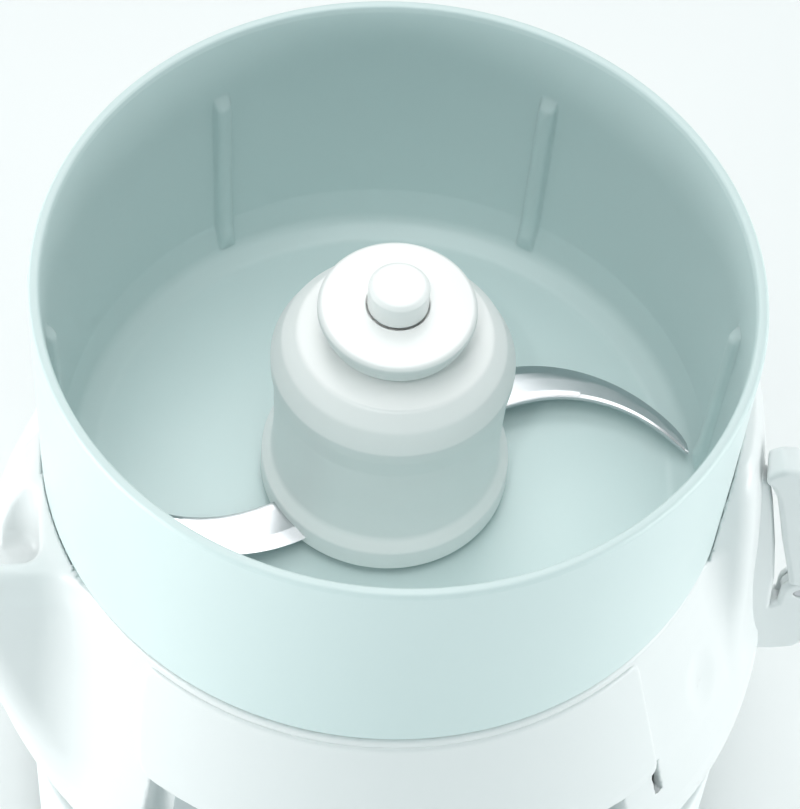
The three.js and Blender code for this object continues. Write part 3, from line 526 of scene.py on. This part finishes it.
def build_housing():
    outer = fillet(FLARE)
    poly = np.vstack([[(-20, 72)], outer, [(-20, 169)]])
    f_out = polyline_sdf_table(poly, (-22, 60), (160, 215), 0.5)
    innerp = np.array([(-20, 40), (112, 40), (112, 76), (129, 77.5), (132.6, 80), (133, 87), (132.4, 91), (130.6, 95.4), (128.8, 100), (126.4, 108), (124.2, 118), (119.6, 133), (117.5, 139), (108, 141.2), (-20, 141.2)], float)
    f_in = polyline_sdf_table(innerp, (-22, 60), (160, 215), 0.5)
    fair = fillet([(60, 100), (130, 100), (130.4, 108, 5), (129.6, 118, 10), (129.0, 130, 10), (127.6, 150, 20), (125.8, 168, 20), (124.2, 182, 20), (122.2, 193, 12), (119.6, 201, 8), (117.4, 205.2, 3), (114.3, 207.2, 1), (60, 207.2)], False)
    f_fair = polyline_sdf_table(fair, (0, 60), (170, 215), 0.5)
    win = fillet([(-52, 60), (52, 60), (50, 110, 20), (47.5, 150, 20), (44, 185, 20), (40, 199, 12), (30, 208.5, 10), (-30, 208.5, 10), (-40, 199, 12), (-44, 185, 20), (-47.5, 150, 20), (-50, 110, 20)], True)
    f_win = polyline_sdf_table(win, (-170, 60), (170, 215), 0.5)
    plan = fillet([(-80, -51, 0), (-141, -51, 9), (-153.2, -44, 10), (-153.2, -24, 16), (-140, -14.5, 14), (-80, -10.5, 0)], True)
    f_plan = polyline_sdf_table(plan, (-170, -80), (-60, 30), 0.5)
    sh = fillet([(60, 70), (118, 70, 0), (134, 84, 8), (148, 106, 20), (153.6, 124, 20), (160, 150, 20), (160, 172, 0), (60, 172, 0)], True)
    f_sh = polyline_sdf_table(sh, (0, 60), (175, 215), 0.5)
    fd = fillet([(0, 84, 0), (0, 166.0, 0), (-49, 166.0, 4), (-57.5, 157.5, 8), (-66, 142, 20), (-74, 124, 20), (-80, 106, 16), (-82, 90, 4), (-82, 84, 0)], True)
    f_fd = polyline_sdf_table(fd, (-100, 60), (10, 215), 0.5)
    ft = fillet([(60, 70), (126, 70, 0), (137.6, 91, 10), (141, 102, 20), (144, 114, 20), (148, 130, 20), (152, 150, 10), (151, 166, 8), (151, 180, 0), (60, 180, 0)], True)
    f_ft = polyline_sdf_table(ft, (0, 60), (175, 215), 0.5)
    rc = fillet([(-113.2, 195, 0), (-112.6, 172.0, 4), (-116, 169.2, 6), (-120.4, 163.5, 10), (-124.6, 153.5, 14), (-127.4, 145, 14), (-129.6, 133, 0), (-180, 133, 0), (-180, 195, 0)], True)
    f_rc = polyline_sdf_table(rc, (-170, 120), (-100, 200), 0.5)
    sc = fillet([(-112.5, -46.0, 6), (-141, -47.3, 8), (-149.8, -42, 8), (-149.8, -27, 10), (-139, -18.6, 12), (-114, -15.4, 8)], True)
    f_sc = polyline_sdf_table(sc, (-170, -80), (-60, 30), 0.5)
    niche = fillet([(126.3, 88.2, 3), (121.2, 123.4, 1.5), (160, 124.6, 0), (160, 87, 0)], True)
    f_niche = polyline_sdf_table(niche, (60, 60), (175, 215), 0.5)
    # wall behind the recess and floor under it
    f_back = polyline_sdf_table(fillet([(123.2, 85.0, 0), (135.6, 85.0, 0), (134.6, 92, 0), (130, 106, 0), (126.0, 124.6, 0), (117.8, 124.6, 0)], True), (60, 60), (175, 215), 0.5)
    seat = np.array([(-20, 145.0), (99, 145.0), (104.8, 146.2), (109.6, 151.4), (110.7, 156.5), (110.7, 260), (-20, 260)], float)
    f_seat = polyline_sdf_table(seat, (-22, 60), (160, 215), 0.5)

    dim_c, dim_a = None, -33 * D
    rr0 = 128.0 - 3.2 + 4.6 - 0.0
    def f(x, y, z):
        r = np.sqrt(x * x + y * y)
        ph = np.arctan2(y, x)
        d = f_out(r, z)
        fr = smax(f_fair(r, z), f_win(y, z), 5.0)
        fr = smax(fr, -x + 40, 4.0)
        d = smin(d, fr, 7.0)
        s = smax(smax(f_plan(x, y), f_sh(r, z), 9.0), z - 166.0, 5.0)
        s = smax(s, x + 80, 2.0)
        fd_ = smax(smax(f_fd(y, z), f_ft(r, z), 10.0), x + 92, 12.0)
        s = smin(s, fd_, 6.0)
        d = smin(d, s, 11.0)
        scoop = smax(f_sc(x, y), 133.0 - z, 9.0)
        scoop = smax(scoop, 113.6 - r, 2.0)
        d = smax(d, -scoop, 2.2)
        rear = smax(f_rc(x, z), -24.0 - y, 2.0)
        d = smax(d, -smax(rear, 112.5 - r, 2.0), 2.4)
        side = smax(smax((z - 166.2 + (y + 46) * 1.509) * -0.552, x + 129.6, 5.0), np.minimum(133.0 - z, 0) + (133.0 - z) * 0, 3.0)
        side = smax(side, 133.2 - z, 4.0)
        d = smax(d, -side, 3.0)
        # hollow inside, leaving a wall round the scoop
        wall = smin(smax(f_in(r, z), -(smax(f_sc(x, y), 130.5 - z, 3.0) - 2.6), 1.0), np.float32(1e3), 1.0)
        d = smax(d, -wall, 0.8)
        # bowl clearance and seat
        d = smax(d, -np.maximum(r - 113.35 - (z - 169) * 0.0062, 169.0 - z), 0.7)
        d = smax(d, -f_seat(r, z), 1.0)
        # recess for the controls
        av = wrap(ph + math.pi / 2)
        ang = np.maximum(-av - NICHE_L * D, av - NICHE_R * D) * 126
        nd = smax(smax(f_niche(r, z), z - niche_top(av), 1.5), ang, 3.0)
        d = smax(d, -nd, 1.2)
        back = np.maximum(np.maximum(f_back(r, z), ang - 3.0), f_out(r, z) + 2.0)
        d = np.minimum(d, np.maximum(back, -nd))
        # oval dimple
        ca, sa = math.cos(dim_a), math.sin(dim_a)
        u = x * ca + y * sa - 129.6; v = -x * sa + y * ca; w = z - 129.5
        tl = 16 * D
        u2 = u * math.cos(tl) + w * math.sin(tl); w2 = -u * math.sin(tl) + w * math.cos(tl)
        k = np.sqrt((u2 / 7.0) ** 2 + (v / 10.8) ** 2 + (w2 / 17.2) ** 2)
        de = (k - 1) * 7.0 * (1 + 0.35 * np.minimum(k, 1.5))
        d = smax(d, -de, 2.4)
        # small slot at the front right
        a = -46.4 * D
        u = x * math.cos(a) + y * math.sin(a) - 129.4; v = -x * math.sin(a) + y * math.cos(a); w = z - 108
        d = smax(d, -np.maximum(np.maximum(np.abs(u) - 3.0, np.abs(v) - 1.5), np.abs(w) - 7.5), 0.6)
        # vents at the back
        va = (ph - 104 * D) / (4.2 * D)
        vi = np.clip(np.round(va), 0, 6)
        vd = np.maximum(np.maximum(np.abs(va - vi) * 4.2 * D * r - 1.8, np.abs(z - 106) - 12), 100 - r)
        d = smax(d, -vd, 0.9)
        # bearing boss and bores
        boss = np.maximum(np.maximum(r - 22, 14.3 - r), np.maximum(124 - z, z - 143))
        d = smin(d, boss, 1.5)
        d = np.maximum(d, -np.maximum(np.maximum(r - 14.3, 124 - z), z - 140))
        d = smax(d, -np.maximum(r - 9, 120 - z), 0.8)
        # cord inlet seat and bore
        rx = np.sqrt((x - 30) ** 2 + (z - 100) ** 2)
        ib = np.maximum(np.maximum(rx - 13.5, 117.6 - y), f_out(r, z))
        d = smin(d, ib, 1.0)
        d = smax(d, -np.maximum(rx - 11.3, 127.6 - y), 0.7)
        d = np.maximum(d, -np.maximum(rx - 8.3, 100 - y))
        # bores for the controls
        for aa, rad in ((0, 4.4), (-14, 3.4), (14, 3.4)):
            t = (-90 + aa) * D
            u = x * math.cos(t) + y * math.sin(t); v = -x * math.sin(t) + y * math.cos(t)
            tt = 8.2 * D
            w = (z - 102.5) * math.cos(tt) - (u - 126.1) * math.sin(tt)
            d = np.maximum(d, -np.maximum(np.sqrt(v * v + w * w) - rad, 110 - u))
        return d.astype(np.float32)
    h = 1.15
    P, Q, G = nets(f, (-156, -140, 70), (141, 140, 210), h)
    return fast_mesh("housing_shell", P, Q, "base", "upper_housing", mat=BODY_M, nrm=G)


def build_panel():
    outer = np.array([(-20, 100), (134.4, 100), (131.2, 112.5), (130.2, 119.0), (129.7, 120.8), (125.5, 133), (120.6, 147), (116.8, 158), (115.0, 163.4), (114.35, 166.4), (114.3, 172), (-20, 172)], float)
    inner = np.array([(-20, 90), (133.0, 90), (126.4, 119.2), (121.6, 133), (116.8, 147), (113.9, 158), (113.0, 162), (113.0, 180), (-20, 180)], float)
    fo = polyline_sdf_table(outer, (60, 95), (142, 176), 0.25)
    fi = polyline_sdf_table(inner, (60, 95), (142, 185), 0.25)

    def f(x, y, z):
        r = np.sqrt(x * x + y * y)
        a = wrap(np.arctan2(y, x) + math.pi / 2)
        left = np.interp(z, [119, 124, 132, 142, 151, 170], [38.4, 38.9, 40.2, 41.4, 42.6, 43.3]) * D
        side = np.maximum(-a - left, a - 43.3 * D) * 121
        edge = smax(np.maximum(niche_top(a) + 0.5 - z, z - 166.3), side, 5.0)
        return smax(smax(fo(r, z), edge, 1.7), -fi(r, z), 0.3).astype(np.float32)
    h = 0.75
    P, Q, G = nets(f, (-92, -134, 111), (92, -78, 168), h)
    fast_mesh("front_panel_fine", P, Q, "base", "front_panel", mat=BODY_M, nrm=G)


def rrect(x, y, half, c):
    qx = np.abs(x) - (half - c); qy = np.abs(y) - (half - c)
    return np.sqrt(np.maximum(qx, 0) ** 2 + np.maximum(qy, 0) ** 2) + np.minimum(np.maximum(qx, qy), 0) - c


def build_base():
    def f(x, y, z):
        o = smax(smax(rrect(x, y, 119, 70), z - 71.6, 3.0), 7.4 - z, 2.2)
        o = np.minimum(o, smax(rrect(x, y, 116, 67), np.maximum(5.0 - z, z - 10), 0.8))
        i = np.maximum(rrect(x, y, 116, 67), np.maximum(8.5 - z, z - 69))
        i = np.minimum(i, np.maximum(rrect(x, y, 110, 61), np.maximum(3 - z, z - 9)))
        i = np.minimum(i, np.maximum(np.sqrt(x * x + y * y) - 108, 60 - z))
        d = smax(o, -i, 0.8)
        ax, ay = np.abs(x) - 86, np.abs(y) - 86
        post = np.maximum(np.sqrt(ax * ax + ay * ay) - 6.5, np.maximum(8.6 - z, z - 69.5))
        u = (ax + ay) * 0.70711; v = (ax - ay) * 0.70711
        rib = np.maximum(np.maximum(np.abs(v) - 1.2, np.abs(u - 8) - 8), np.maximum(8.6 - z, z - 69.5))
        d = np.minimum(d, np.maximum(np.minimum(post, rib), rrect(x, y, 117.5, 68.5)))
        return np.maximum(d, -np.maximum(np.sqrt(ax * ax + ay * ay) - 2.4, z - 30)).astype(np.float32)
    h = 1.5
    P, Q, G = nets(f, (-121, -121, 3), (121, 121, 74), h)
    fast_mesh("lower_base_fine", P, Q, "base", "lower_base", mat=BASE_M, nrm=G)


PIV = (143.5, 118.5)
LEV_C, LEV_H = -25.5, 4.5
def extrude_sdf(f2, x, y, z, half, rad):
    a = f2(x, z) + rad; b = np.abs(y - LEV_C) - half + rad
    return np.sqrt(np.maximum(a, 0) ** 2 + np.maximum(b, 0) ** 2) + np.minimum(np.maximum(a, b), 0) - rad


def build_lever():
    arc = lambda r, a0, a1, n=14: [(PIV[0] + r * math.cos((a0 + (a1 - a0) * i / n) * D), PIV[1] + r * math.sin((a0 + (a1 - a0) * i / n) * D)) for i in range(n + 1)]
    arm = np.array([(126, 84), (131, 81), (139, 80.5), (147, 82), (151.5, 87), (153.2, 95), (152.5, 104), (150.6, 110.5), (150.3, 116)] + arc(6.8, 0, 180) +
                   [(136.7, 112), (134.4, 110.2), (133.2, 128), (130, 150), (125.2, 176), (122.4, 187), (119.8, 189.8), (112, 189.8), (112, 84)], float)
    f_arm = polyline_sdf_table(arm, (104, 72), (160, 200), 0.3)
    cl = np.array([(-20, 60), (LIP_R - 0.6, 60), (LIP_R - 0.6, 87.2), (LIP_R - 1, 92), (134.8, 96.2), (132.4, 101.4), (130.2, 107.4), (128.9, 118), (128.5, 130), (127.0, 150), (125.2, 168), (123.6, 182), (121.6, 193), (114, 207), (-20, 207)], float)
    f_cl = polyline_sdf_table(cl, (90, 60), (165, 215), 0.3)

    def fa(x, y, z):
        r = np.sqrt(x * x + y * y)
        d = extrude_sdf(f_arm, x, y, z, LEV_H, 1.9)
        slot = np.maximum(np.maximum(136 - x, np.abs(y - LEV_C) - 1.8), 111.4 - z)
        d = smax(d, -slot, 0.8)
        bore = np.sqrt((x - PIV[0]) ** 2 + (z - PIV[1]) ** 2) - 2.5
        d = smax(d, -bore, 0.4)
        return smax(d, -f_cl(r, z), 0.6).astype(np.float32)
    h = 0.45
    P, Q, G = nets(fa, (110, -32, 78), (156, -19, 193), h)
    fast_mesh("lever_bracket_fine", P, Q, "base", "lever_bracket", mat=BODY_M, nrm=G)

    lev = fillet([(138.2, 127.0, 1), (136.6, 134, 6), (131.6, 154, 20), (128.6, 168, 20), (125.6, 181, 8), (122.6, 188, 8), (119.8, 191.0, 3.5), (120.0, 195.0, 4), (125.6, 198.0, 5), (131.8, 197.4, 6), (137.0, 190.6, 12), (140.6, 180, 20), (144.2, 160, 30), (148.2, 137, 20), (148.9, 126.6, 2.0)], True)
    f_lev = polyline_sdf_table(lev, (104, 100), (165, 215), 0.3)
    lc = np.array([(-20, 120), (131.2, 120), (130.6, 131), (129.4, 150), (127.6, 168), (126.0, 182), (124.0, 193), (121.2, 202), (118, 209), (-20, 209)], float)
    f_lc = polyline_sdf_table(lc, (90, 100), (165, 215), 0.3)

    def fl(x, y, z):
        r = np.sqrt(x * x + y * y)
        d = extrude_sdf(f_lev, x, y + 1.2, z, LEV_H + 1.2, 2.2)
        # three shallow thumb grooves on the outside, below the tip
        for zz in (176.0, 182.5, 189.0):
            d = smax(d, -(np.sqrt((x - 144.6 + (zz - 176.0) * 0.26) ** 2 + (z - zz) ** 2) - 4.1), 1.2)
        d = smax(d, -f_lc(r, z), 1.2)
        # channel along the inner side
        chan = np.maximum(np.maximum(f_lev(x + 3.6, z), np.abs(y - LEV_C) - 2.8), np.abs(z - 161.5) - 22.5)
        d = smax(d, -chan, 0.8)
        t = np.sqrt((x - PIV[0]) ** 2 + (z - PIV[1]) ** 2)
        tongue = np.maximum(np.minimum(t - 6.2, np.maximum(np.abs(x - 143.9) - 4.7, np.abs(z - 123.5) - 5)), np.abs(y - LEV_C) - 1.45)
        d = smin(d, tongue, 1.0)
        return np.maximum(d, -(t - 2.5)).astype(np.float32)
    P, Q, G = nets(fl, (116, -34, 110), (152, -19, 206), h)
    fast_mesh("lock_lever_fine", P, Q, "lock_lever", "lock_lever", mat=BODY_M, nrm=G)


def ctrl(V, a):
    """local +Z points out of the recess; a turns the control round the bowl axis, in degrees"""
    V = np.array(V, float)
    t = (90 - 8.2) * D
    x, y, z = V[:, 0], V[:, 1], V[:, 2]
    y2 = y * math.cos(t) - z * math.sin(t); z2 = y * math.sin(t) + z * math.cos(t)
    y2 = y2 - 126.1; z2 = z2 + 102.5
    b = a * D
    return np.stack([x * math.cos(b) - y2 * math.sin(b), x * math.sin(b) + y2 * math.cos(b), z2], 1)


def lathe(name, prof, body, node, mat, place=None, n=96, step=3.0, disp=None):
    V, F = revolve(refine(fillet(prof), step), round_phis(n), disp)
    V = np.array([tuple(p) for p in V], float)
    if place is not None:
        V = place(V)
    return add_mesh(name, V, F, body, node, mat=mat)


def controls():
    # fascia: a thin curved plate with three holes
    outer = np.array([(60, 80), (129.3, 80), (127.95, 89), (123.75, 118), (122.4, 127), (60, 127)], float)
    inner = np.array([(60, 80), (127.7, 80), (126.45, 89), (122.25, 118), (120.9, 127), (60, 127)], float)
    fo = polyline_sdf_table(outer, (50, 78), (135, 130), 0.25); fi = polyline_sdf_table(inner, (50, 78), (135, 130), 0.25)

    def f(x, y, z):
        r = np.sqrt(x * x + y * y)
        a = wrap(np.arctan2(y, x) + math.pi / 2)
        edge = smax(np.maximum(89 - z, z - 118), (np.abs(a) - 34 * D) * 126, 6.0)
        d = smax(smax(fo(r, z), edge, 0.9), -fi(r, z), 0.3)
        for aa, rad in ((0, 5.2), (-14, 8.8), (14, 4.9)):
            t = (-90 + aa) * D
            u = x * math.cos(t) + y * math.sin(t); v = -x * math.sin(t) + y * math.cos(t)
            w = (z - 102.5) * math.cos(8.2 * D) - (u - 126.1) * math.sin(8.2 * D)
            d = smax(d, -(np.sqrt(v * v + w * w) - rad), 0.5)
        # shallow ring round the knob
        u = np.sqrt(x * x + ((z - 102.5) / math.cos(8.2 * D)) ** 2)
        ringd = np.abs(u - 14.2) - 0.35
        d = smax(d, -np.maximum(ringd, -fo(r, z) - 0.45), 0.3)
        return d.astype(np.float32)
    h = 0.5
    P, Q, G = nets(f, (-73, -130, 87), (73, -100, 120), h)
    fast_mesh("control_fascia_fine", P, Q, "base", "control_fascia", mat=CTRL_M, nrm=G)
    # scale marks round the knob, one body of small raised bars
    V, F = [], []
    for i in range(9):
        q = (225 - i * 33.75) * D
        L = 2.6 if i % 4 else 3.6
        for s_ in (0,):
            c, sn = math.cos(q), math.sin(q)
            base = len(V)
            for rr, ww in ((16.2, -0.45), (16.2, 0.45), (16.2 + L, 0.45), (16.2 + L, -0.45)):
                uu = rr * c - ww * sn; vv = rr * sn + ww * c
                z = 102.5 + vv * math.cos(8.2 * D)
                R0 = 127.95 + (123.75 - 127.95) * (z - 89) / 29
                al = uu / 126.0 - math.pi / 2
                for off in (-0.2, 0.22):
                    V.append(((R0 + off) * math.cos(al), (R0 + off) * math.sin(al), z))
            b = base
            F += [(b + 1, b + 3, b + 5, b + 7), (b, b + 6, b + 4, b + 2), (b, b + 2, b + 3, b + 1), (b + 2, b + 4, b + 5, b + 3), (b + 4, b + 6, b + 7, b + 5), (b + 6, b, b + 1, b + 7)]
    add_mesh("scale_marks", V, F, "base", mat=MARK_M, smooth=False)

    # knob with a fluted skirt and a pointer ridge
    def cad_(x, y, z):
        r = np.sqrt(x * x + y * y)
        ph = np.arctan2(y, x)
        rad = 12.45 - (z - 1.2) * 0.13 + 0.22 * np.cos(ph * 24) * np.clip((8.0 - z) / 2, 0, 1)
        d = smax(smax(r - rad, z - 8.1, 1.6), 1.2 - z, 0.8)
        ridge = smax(smax(np.abs(x) - 1.9 + (z - 7) * 0.15, np.abs(y) - 11.2, 1.2), np.maximum(z - 9.4, 4 - z), 1.0)
        d = smin(d, ridge, 1.2)
        d = smax(d, -np.maximum(np.maximum(np.abs(x) - 0.42, np.abs(y - 7.2) - 2.6), 8.9 - z), 0.2)
        d = np.minimum(d, np.maximum(r - 3.6, np.maximum(-13 - z, z - 2)))
        return d.astype(np.float32)
    h = 0.34
    P, Q, G = nets(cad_, (-14, -14, -14.5), (14, 14, 11), h)
    O = ctrl(np.zeros((1, 3)), 0)
    fast_mesh("speed_knob_fine", ctrl(P, 0), Q, "speed_knob", "speed_knob", mat=CTRL_M, nrm=ctrl(G, 0) - O)
    lathe("pulse_button_fine", [(0, 5.9, 0), (4.5, 6.05, 0.5), (7.3, 6.0, 1.0), (8.2, 4.8, 0.8), (8.2, 1.6, 0.3), (2.8, 1.6, 0.3), (2.8, -12, 0.3), (0, -12, 0)], "pulse_button", "pulse_button", CTRL_M, lambda V: ctrl(V, -14), 72, 1.5)
    lathe("power_lamp_fine", [(0, 2.8, 0), (1.6, 2.7, 1.0), (3.4, 2.2, 1.5), (4.4, 1.0, 0.8), (4.4, -1.0, 0.2), (2.9, -1.2, 0.2), (2.9, -12, 0.3), (0, -12, 0)], "base", "power_lamp", LAMP_M, lambda V: ctrl(V, 14), 64, 1.0)
    # cord bush at the back
    def bush(V):
        V = np.asarray(V, float)
        return np.stack([V[:, 0] + 30, V[:, 2] + 127.6, 100 - V[:, 1]], 1)
    lathe("cord_inlet_fine", [(3.4, -9, 0.3), (7.8, -9, 0.3), (7.8, 0.4, 0.1), (10.4, 0.4, 0.5), (10.4, 2.4, 0.9), (6.9, 3.1, 0.6), (6.0, 5.2, 0.6), (3.4, 5.2, 0.5), (3.4, -9, 0)], "base", "cord_inlet", RUBBER_M, bush, 64, 1.5)
    k = 0
    for sx, sy in ((1, 1), (-1, 1), (1, -1), (-1, -1)):
        k += 1
        lathe("foot_%d_fine" % k, [(0, 0.6, 0), (4.0, 0.6, 0.3), (4.6, 0.0, 0.3), (10.4, 0.0, 1.0), (12.0, 1.6, 0.8), (11.0, 4.7, 0.3), (0, 4.7, 0)], "base", "foot_%d" % k, RUBBER_M,
              (lambda V, sx=sx, sy=sy: V + np.array([sx * 62.0, sy * 90.0, 0.0])), 64, 1.5)


def coil(name, node, body, place, r0, r1, z0, z1, wire, turns):
    """compression spring with dead coils at both ends"""
    n, k = int(turns * 30), 10
    t = np.linspace(0, 1, n + 1)
    a = t * turns * 2 * math.pi
    r = r0 + (r1 - r0) * t
    zc = z0 + wire + (z1 - z0 - 2 * wire) * np.clip((t - 0.14) / 0.72, 0, 1)
    V, F = [], []
    for i in range(n + 1):
        ca, sa = math.cos(a[i]), math.sin(a[i])
        for j in range(k):
            q = 2 * math.pi * j / k
            rr = r[i] + wire * math.cos(q)
            V.append((rr * ca, rr * sa, zc[i] + wire * math.sin(q)))
    for i in range(n):
        for j in range(k):
            b, c = i * k + j, i * k + (j + 1) % k
            F.append((b, b + k, c + k, c))
    F.append(tuple(range(k))); F.append(tuple(n * k + j for j in reversed(range(k))))
    V = np.array(V, float)
    if place is not None:
        V = place(V)
    ob = add_mesh(name, V, F, body, node, mat=MAT_OF_SLOT[SLOT_OF[node]])
    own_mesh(ob)
    return ob


def springs():
    coil("release_spring_fine", "release_spring", "carrier", None, 4.5, 4.5, 235.25, 241.5, 0.42, 5.0)
    o = ctrl([(0, 0, -1.2), (0, 0, 1.0)], -14)
    ax = o[1] - o[0]; ax /= np.linalg.norm(ax)
    coil("pulse_spring_fine", "pulse_spring", "base", lambda V: ctrl(V, -14), 4.9, 4.0, -1.2, 1.25, 0.22, 2.6)


def blades():
    for nm, rot in (("lower_blade_a", 26), ("lower_blade_b", 206)):
        nt, ns = 56, 10
        V = []; F = []
        L, w, bend = 102.5, 17.0, -26.0
        for i in range(nt + 1):
            t = i / nt
            r = 35.0 + (L - 35.0) * t
            t0 = max(0.0, (r - 40.0) / (L - 40.0))
            a0 = bend * t0 * t0 * D; a1 = a0 + w * (1 - 0.55 * t0 * t0) / max(r, 40.0)
            # rounded tip
            e = max(0.0, (t - 0.94) / 0.06)
            pinch = (1 - math.sqrt(max(0.0, 1 - e * e))) * 0.5
            mid = (a0 + a1) / 2; hw = (a1 - a0) / 2 * (1 - 0.9 * pinch)
            for j in range(ns + 1):
                s_ = j / ns
                a = mid - hw + 2 * hw * s_ + rot * D
                d_edge = (1 - s_) * 2 * hw * r           # distance to the cutting edge
                th = 1.8 * min(1.0, 0.16 + 0.84 * min(1.0, d_edge / 5.0)) * (1.0 if s_ > 0.02 else 0.82)
                x, y = r * math.cos(a), r * math.sin(a)
                V.append((x, y, 157.1 + th)); V.append((x, y, 157.1))
        st = 2 * (ns + 1)
        for i in range(nt):
            for j in range(ns):
                b = i * st + j * 2
                F.append((b, b + st, b + st + 2, b + 2))
                F.append((b + 1, b + 3, b + st + 3, b + st + 1))
            for j in (0, ns):
                b = i * st + j * 2
                F.append((b, b + 1, b + st + 1, b + st) if j == 0 else (b, b + st, b + st + 1, b + 1))
        for i in (0, nt):
            for j in range(ns):
                b = i * st + j * 2
                F.append((b, b + 2, b + 3, b + 1) if i == 0 else (b, b + 1, b + 3, b + 2))
        add_mesh(nm + "_fine", V, F, "carrier", nm, mat=BLADE_M, sharp=14)


bowl()
hub()
build_housing()
build_panel()
build_base()
build_lever()
controls()
springs()
blades()

# ------------------------------------------------------------------ floor, light, world
def stage():
    me = bpy.data.meshes.new("floor")
    s = 6.0
    me.from_pydata([(-s, -s, 0), (s, -s, 0), (s, s, 0), (-s, s, 0)], [], [(0, 1, 2, 3)])
    ob = bpy.data.objects.new("floor", me)
    bpy.context.collection.objects.link(ob)
    ob.location.z = -0.0005
    m = bpy.data.materials.new("floor"); m.use_nodes = True
    N = m.node_tree.nodes; L = m.node_tree.links
    bs = N["Principled BSDF"]; bs.inputs["Roughness"].default_value = 0.9
    no = N.new("ShaderNodeTexNoise"); no.inputs["Scale"].default_value = 2.0
    mx = N.new("ShaderNodeMix"); mx.data_type = 'RGBA'; mx.inputs["A"].default_value = (0.91, 0.92, 0.92, 1); mx.inputs["B"].default_value = (0.925, 0.935, 0.935, 1)
    L.new(no.outputs["Fac"], mx.inputs["Factor"]); L.new(mx.outputs["Result"], bs.inputs["Base Color"])
    me.materials.append(m)
    w = bpy.data.worlds.new("w"); bpy.context.scene.world = w; w.use_nodes = True
    WN = w.node_tree.nodes; WL = w.node_tree.links
    bg = WN["Background"]
    tc = WN.new("ShaderNodeTexCoord"); sep = WN.new("ShaderNodeSeparateXYZ")
    WL.new(tc.outputs["Generated"], sep.inputs[0])
    # white room with a cool, dimmer side towards the front
    mr = WN.new("ShaderNodeMapRange"); mr.interpolation_type = 'SMOOTHSTEP'
    mr.inputs["From Min"].default_value = -0.3; mr.inputs["From Max"].default_value = -0.95
    WL.new(sep.outputs[1], mr.inputs["Value"])
    wm = WN.new("ShaderNodeMix"); wm.data_type = 'RGBA'
    wm.inputs["A"].default_value = (0.48, 0.525, 0.525, 1); wm.inputs["B"].default_value = (0.035, 0.16, 0.17, 1)
    WL.new(mr.outputs["Result"], wm.inputs["Factor"]); WL.new(wm.outputs["Result"], bg.inputs[0])
    bg.inputs[1].default_value = 1.0

    def area(name, loc, target, size, power, col=(1, 1, 1), sy=None):
        li = bpy.data.lights.new(name, 'AREA'); li.energy = power; li.color = col
        li.shape = 'RECTANGLE'; li.size = size; li.size_y = sy or size
        o = bpy.data.objects.new(name, li); bpy.context.collection.objects.link(o)
        o.location = loc
        d = Vector(target) - Vector(loc)
        o.rotation_euler = d.to_track_quat('-Z', 'Y').to_euler()
        o.visible_camera = False
        return o
    area("side_left", (-1.55, -0.5, 0.24), (0, 0, 0.13), 1.0, 17.5, (1, 1, 1), 0.5)
    area("side_right", (1.55, -0.5, 0.24), (0, 0, 0.13), 1.0, 13.5, (1, 1, 1), 0.5)
    area("top", (-0.12, -0.25, 1.95), (0, 0, 0.2), 1.1, 9.5, (1, 1, 1))
    area("top_back", (-0.05, 1.15, 2.05), (0, 0, 0.2), 1.2, 13, (1, 1, 1))
    # soft snooted light on the hub
    li = bpy.data.lights.new("snoot", 'SPOT'); li.energy = 19; li.spot_size = 0.085; li.spot_blend = 1.0; li.shadow_soft_size = 0.05
    o = bpy.data.objects.new("snoot", li); bpy.context.collection.objects.link(o)
    o.location = (-0.32, -0.72, 1.5)
    o.rotation_euler = (Vector((0, 0, 0.19)) - Vector(o.location)).to_track_quat('-Z', 'Y').to_euler()

stage()
sc = bpy.context.scene
sc.view_settings.view_transform = 'Standard'
sc.view_settings.exposure = 0.0
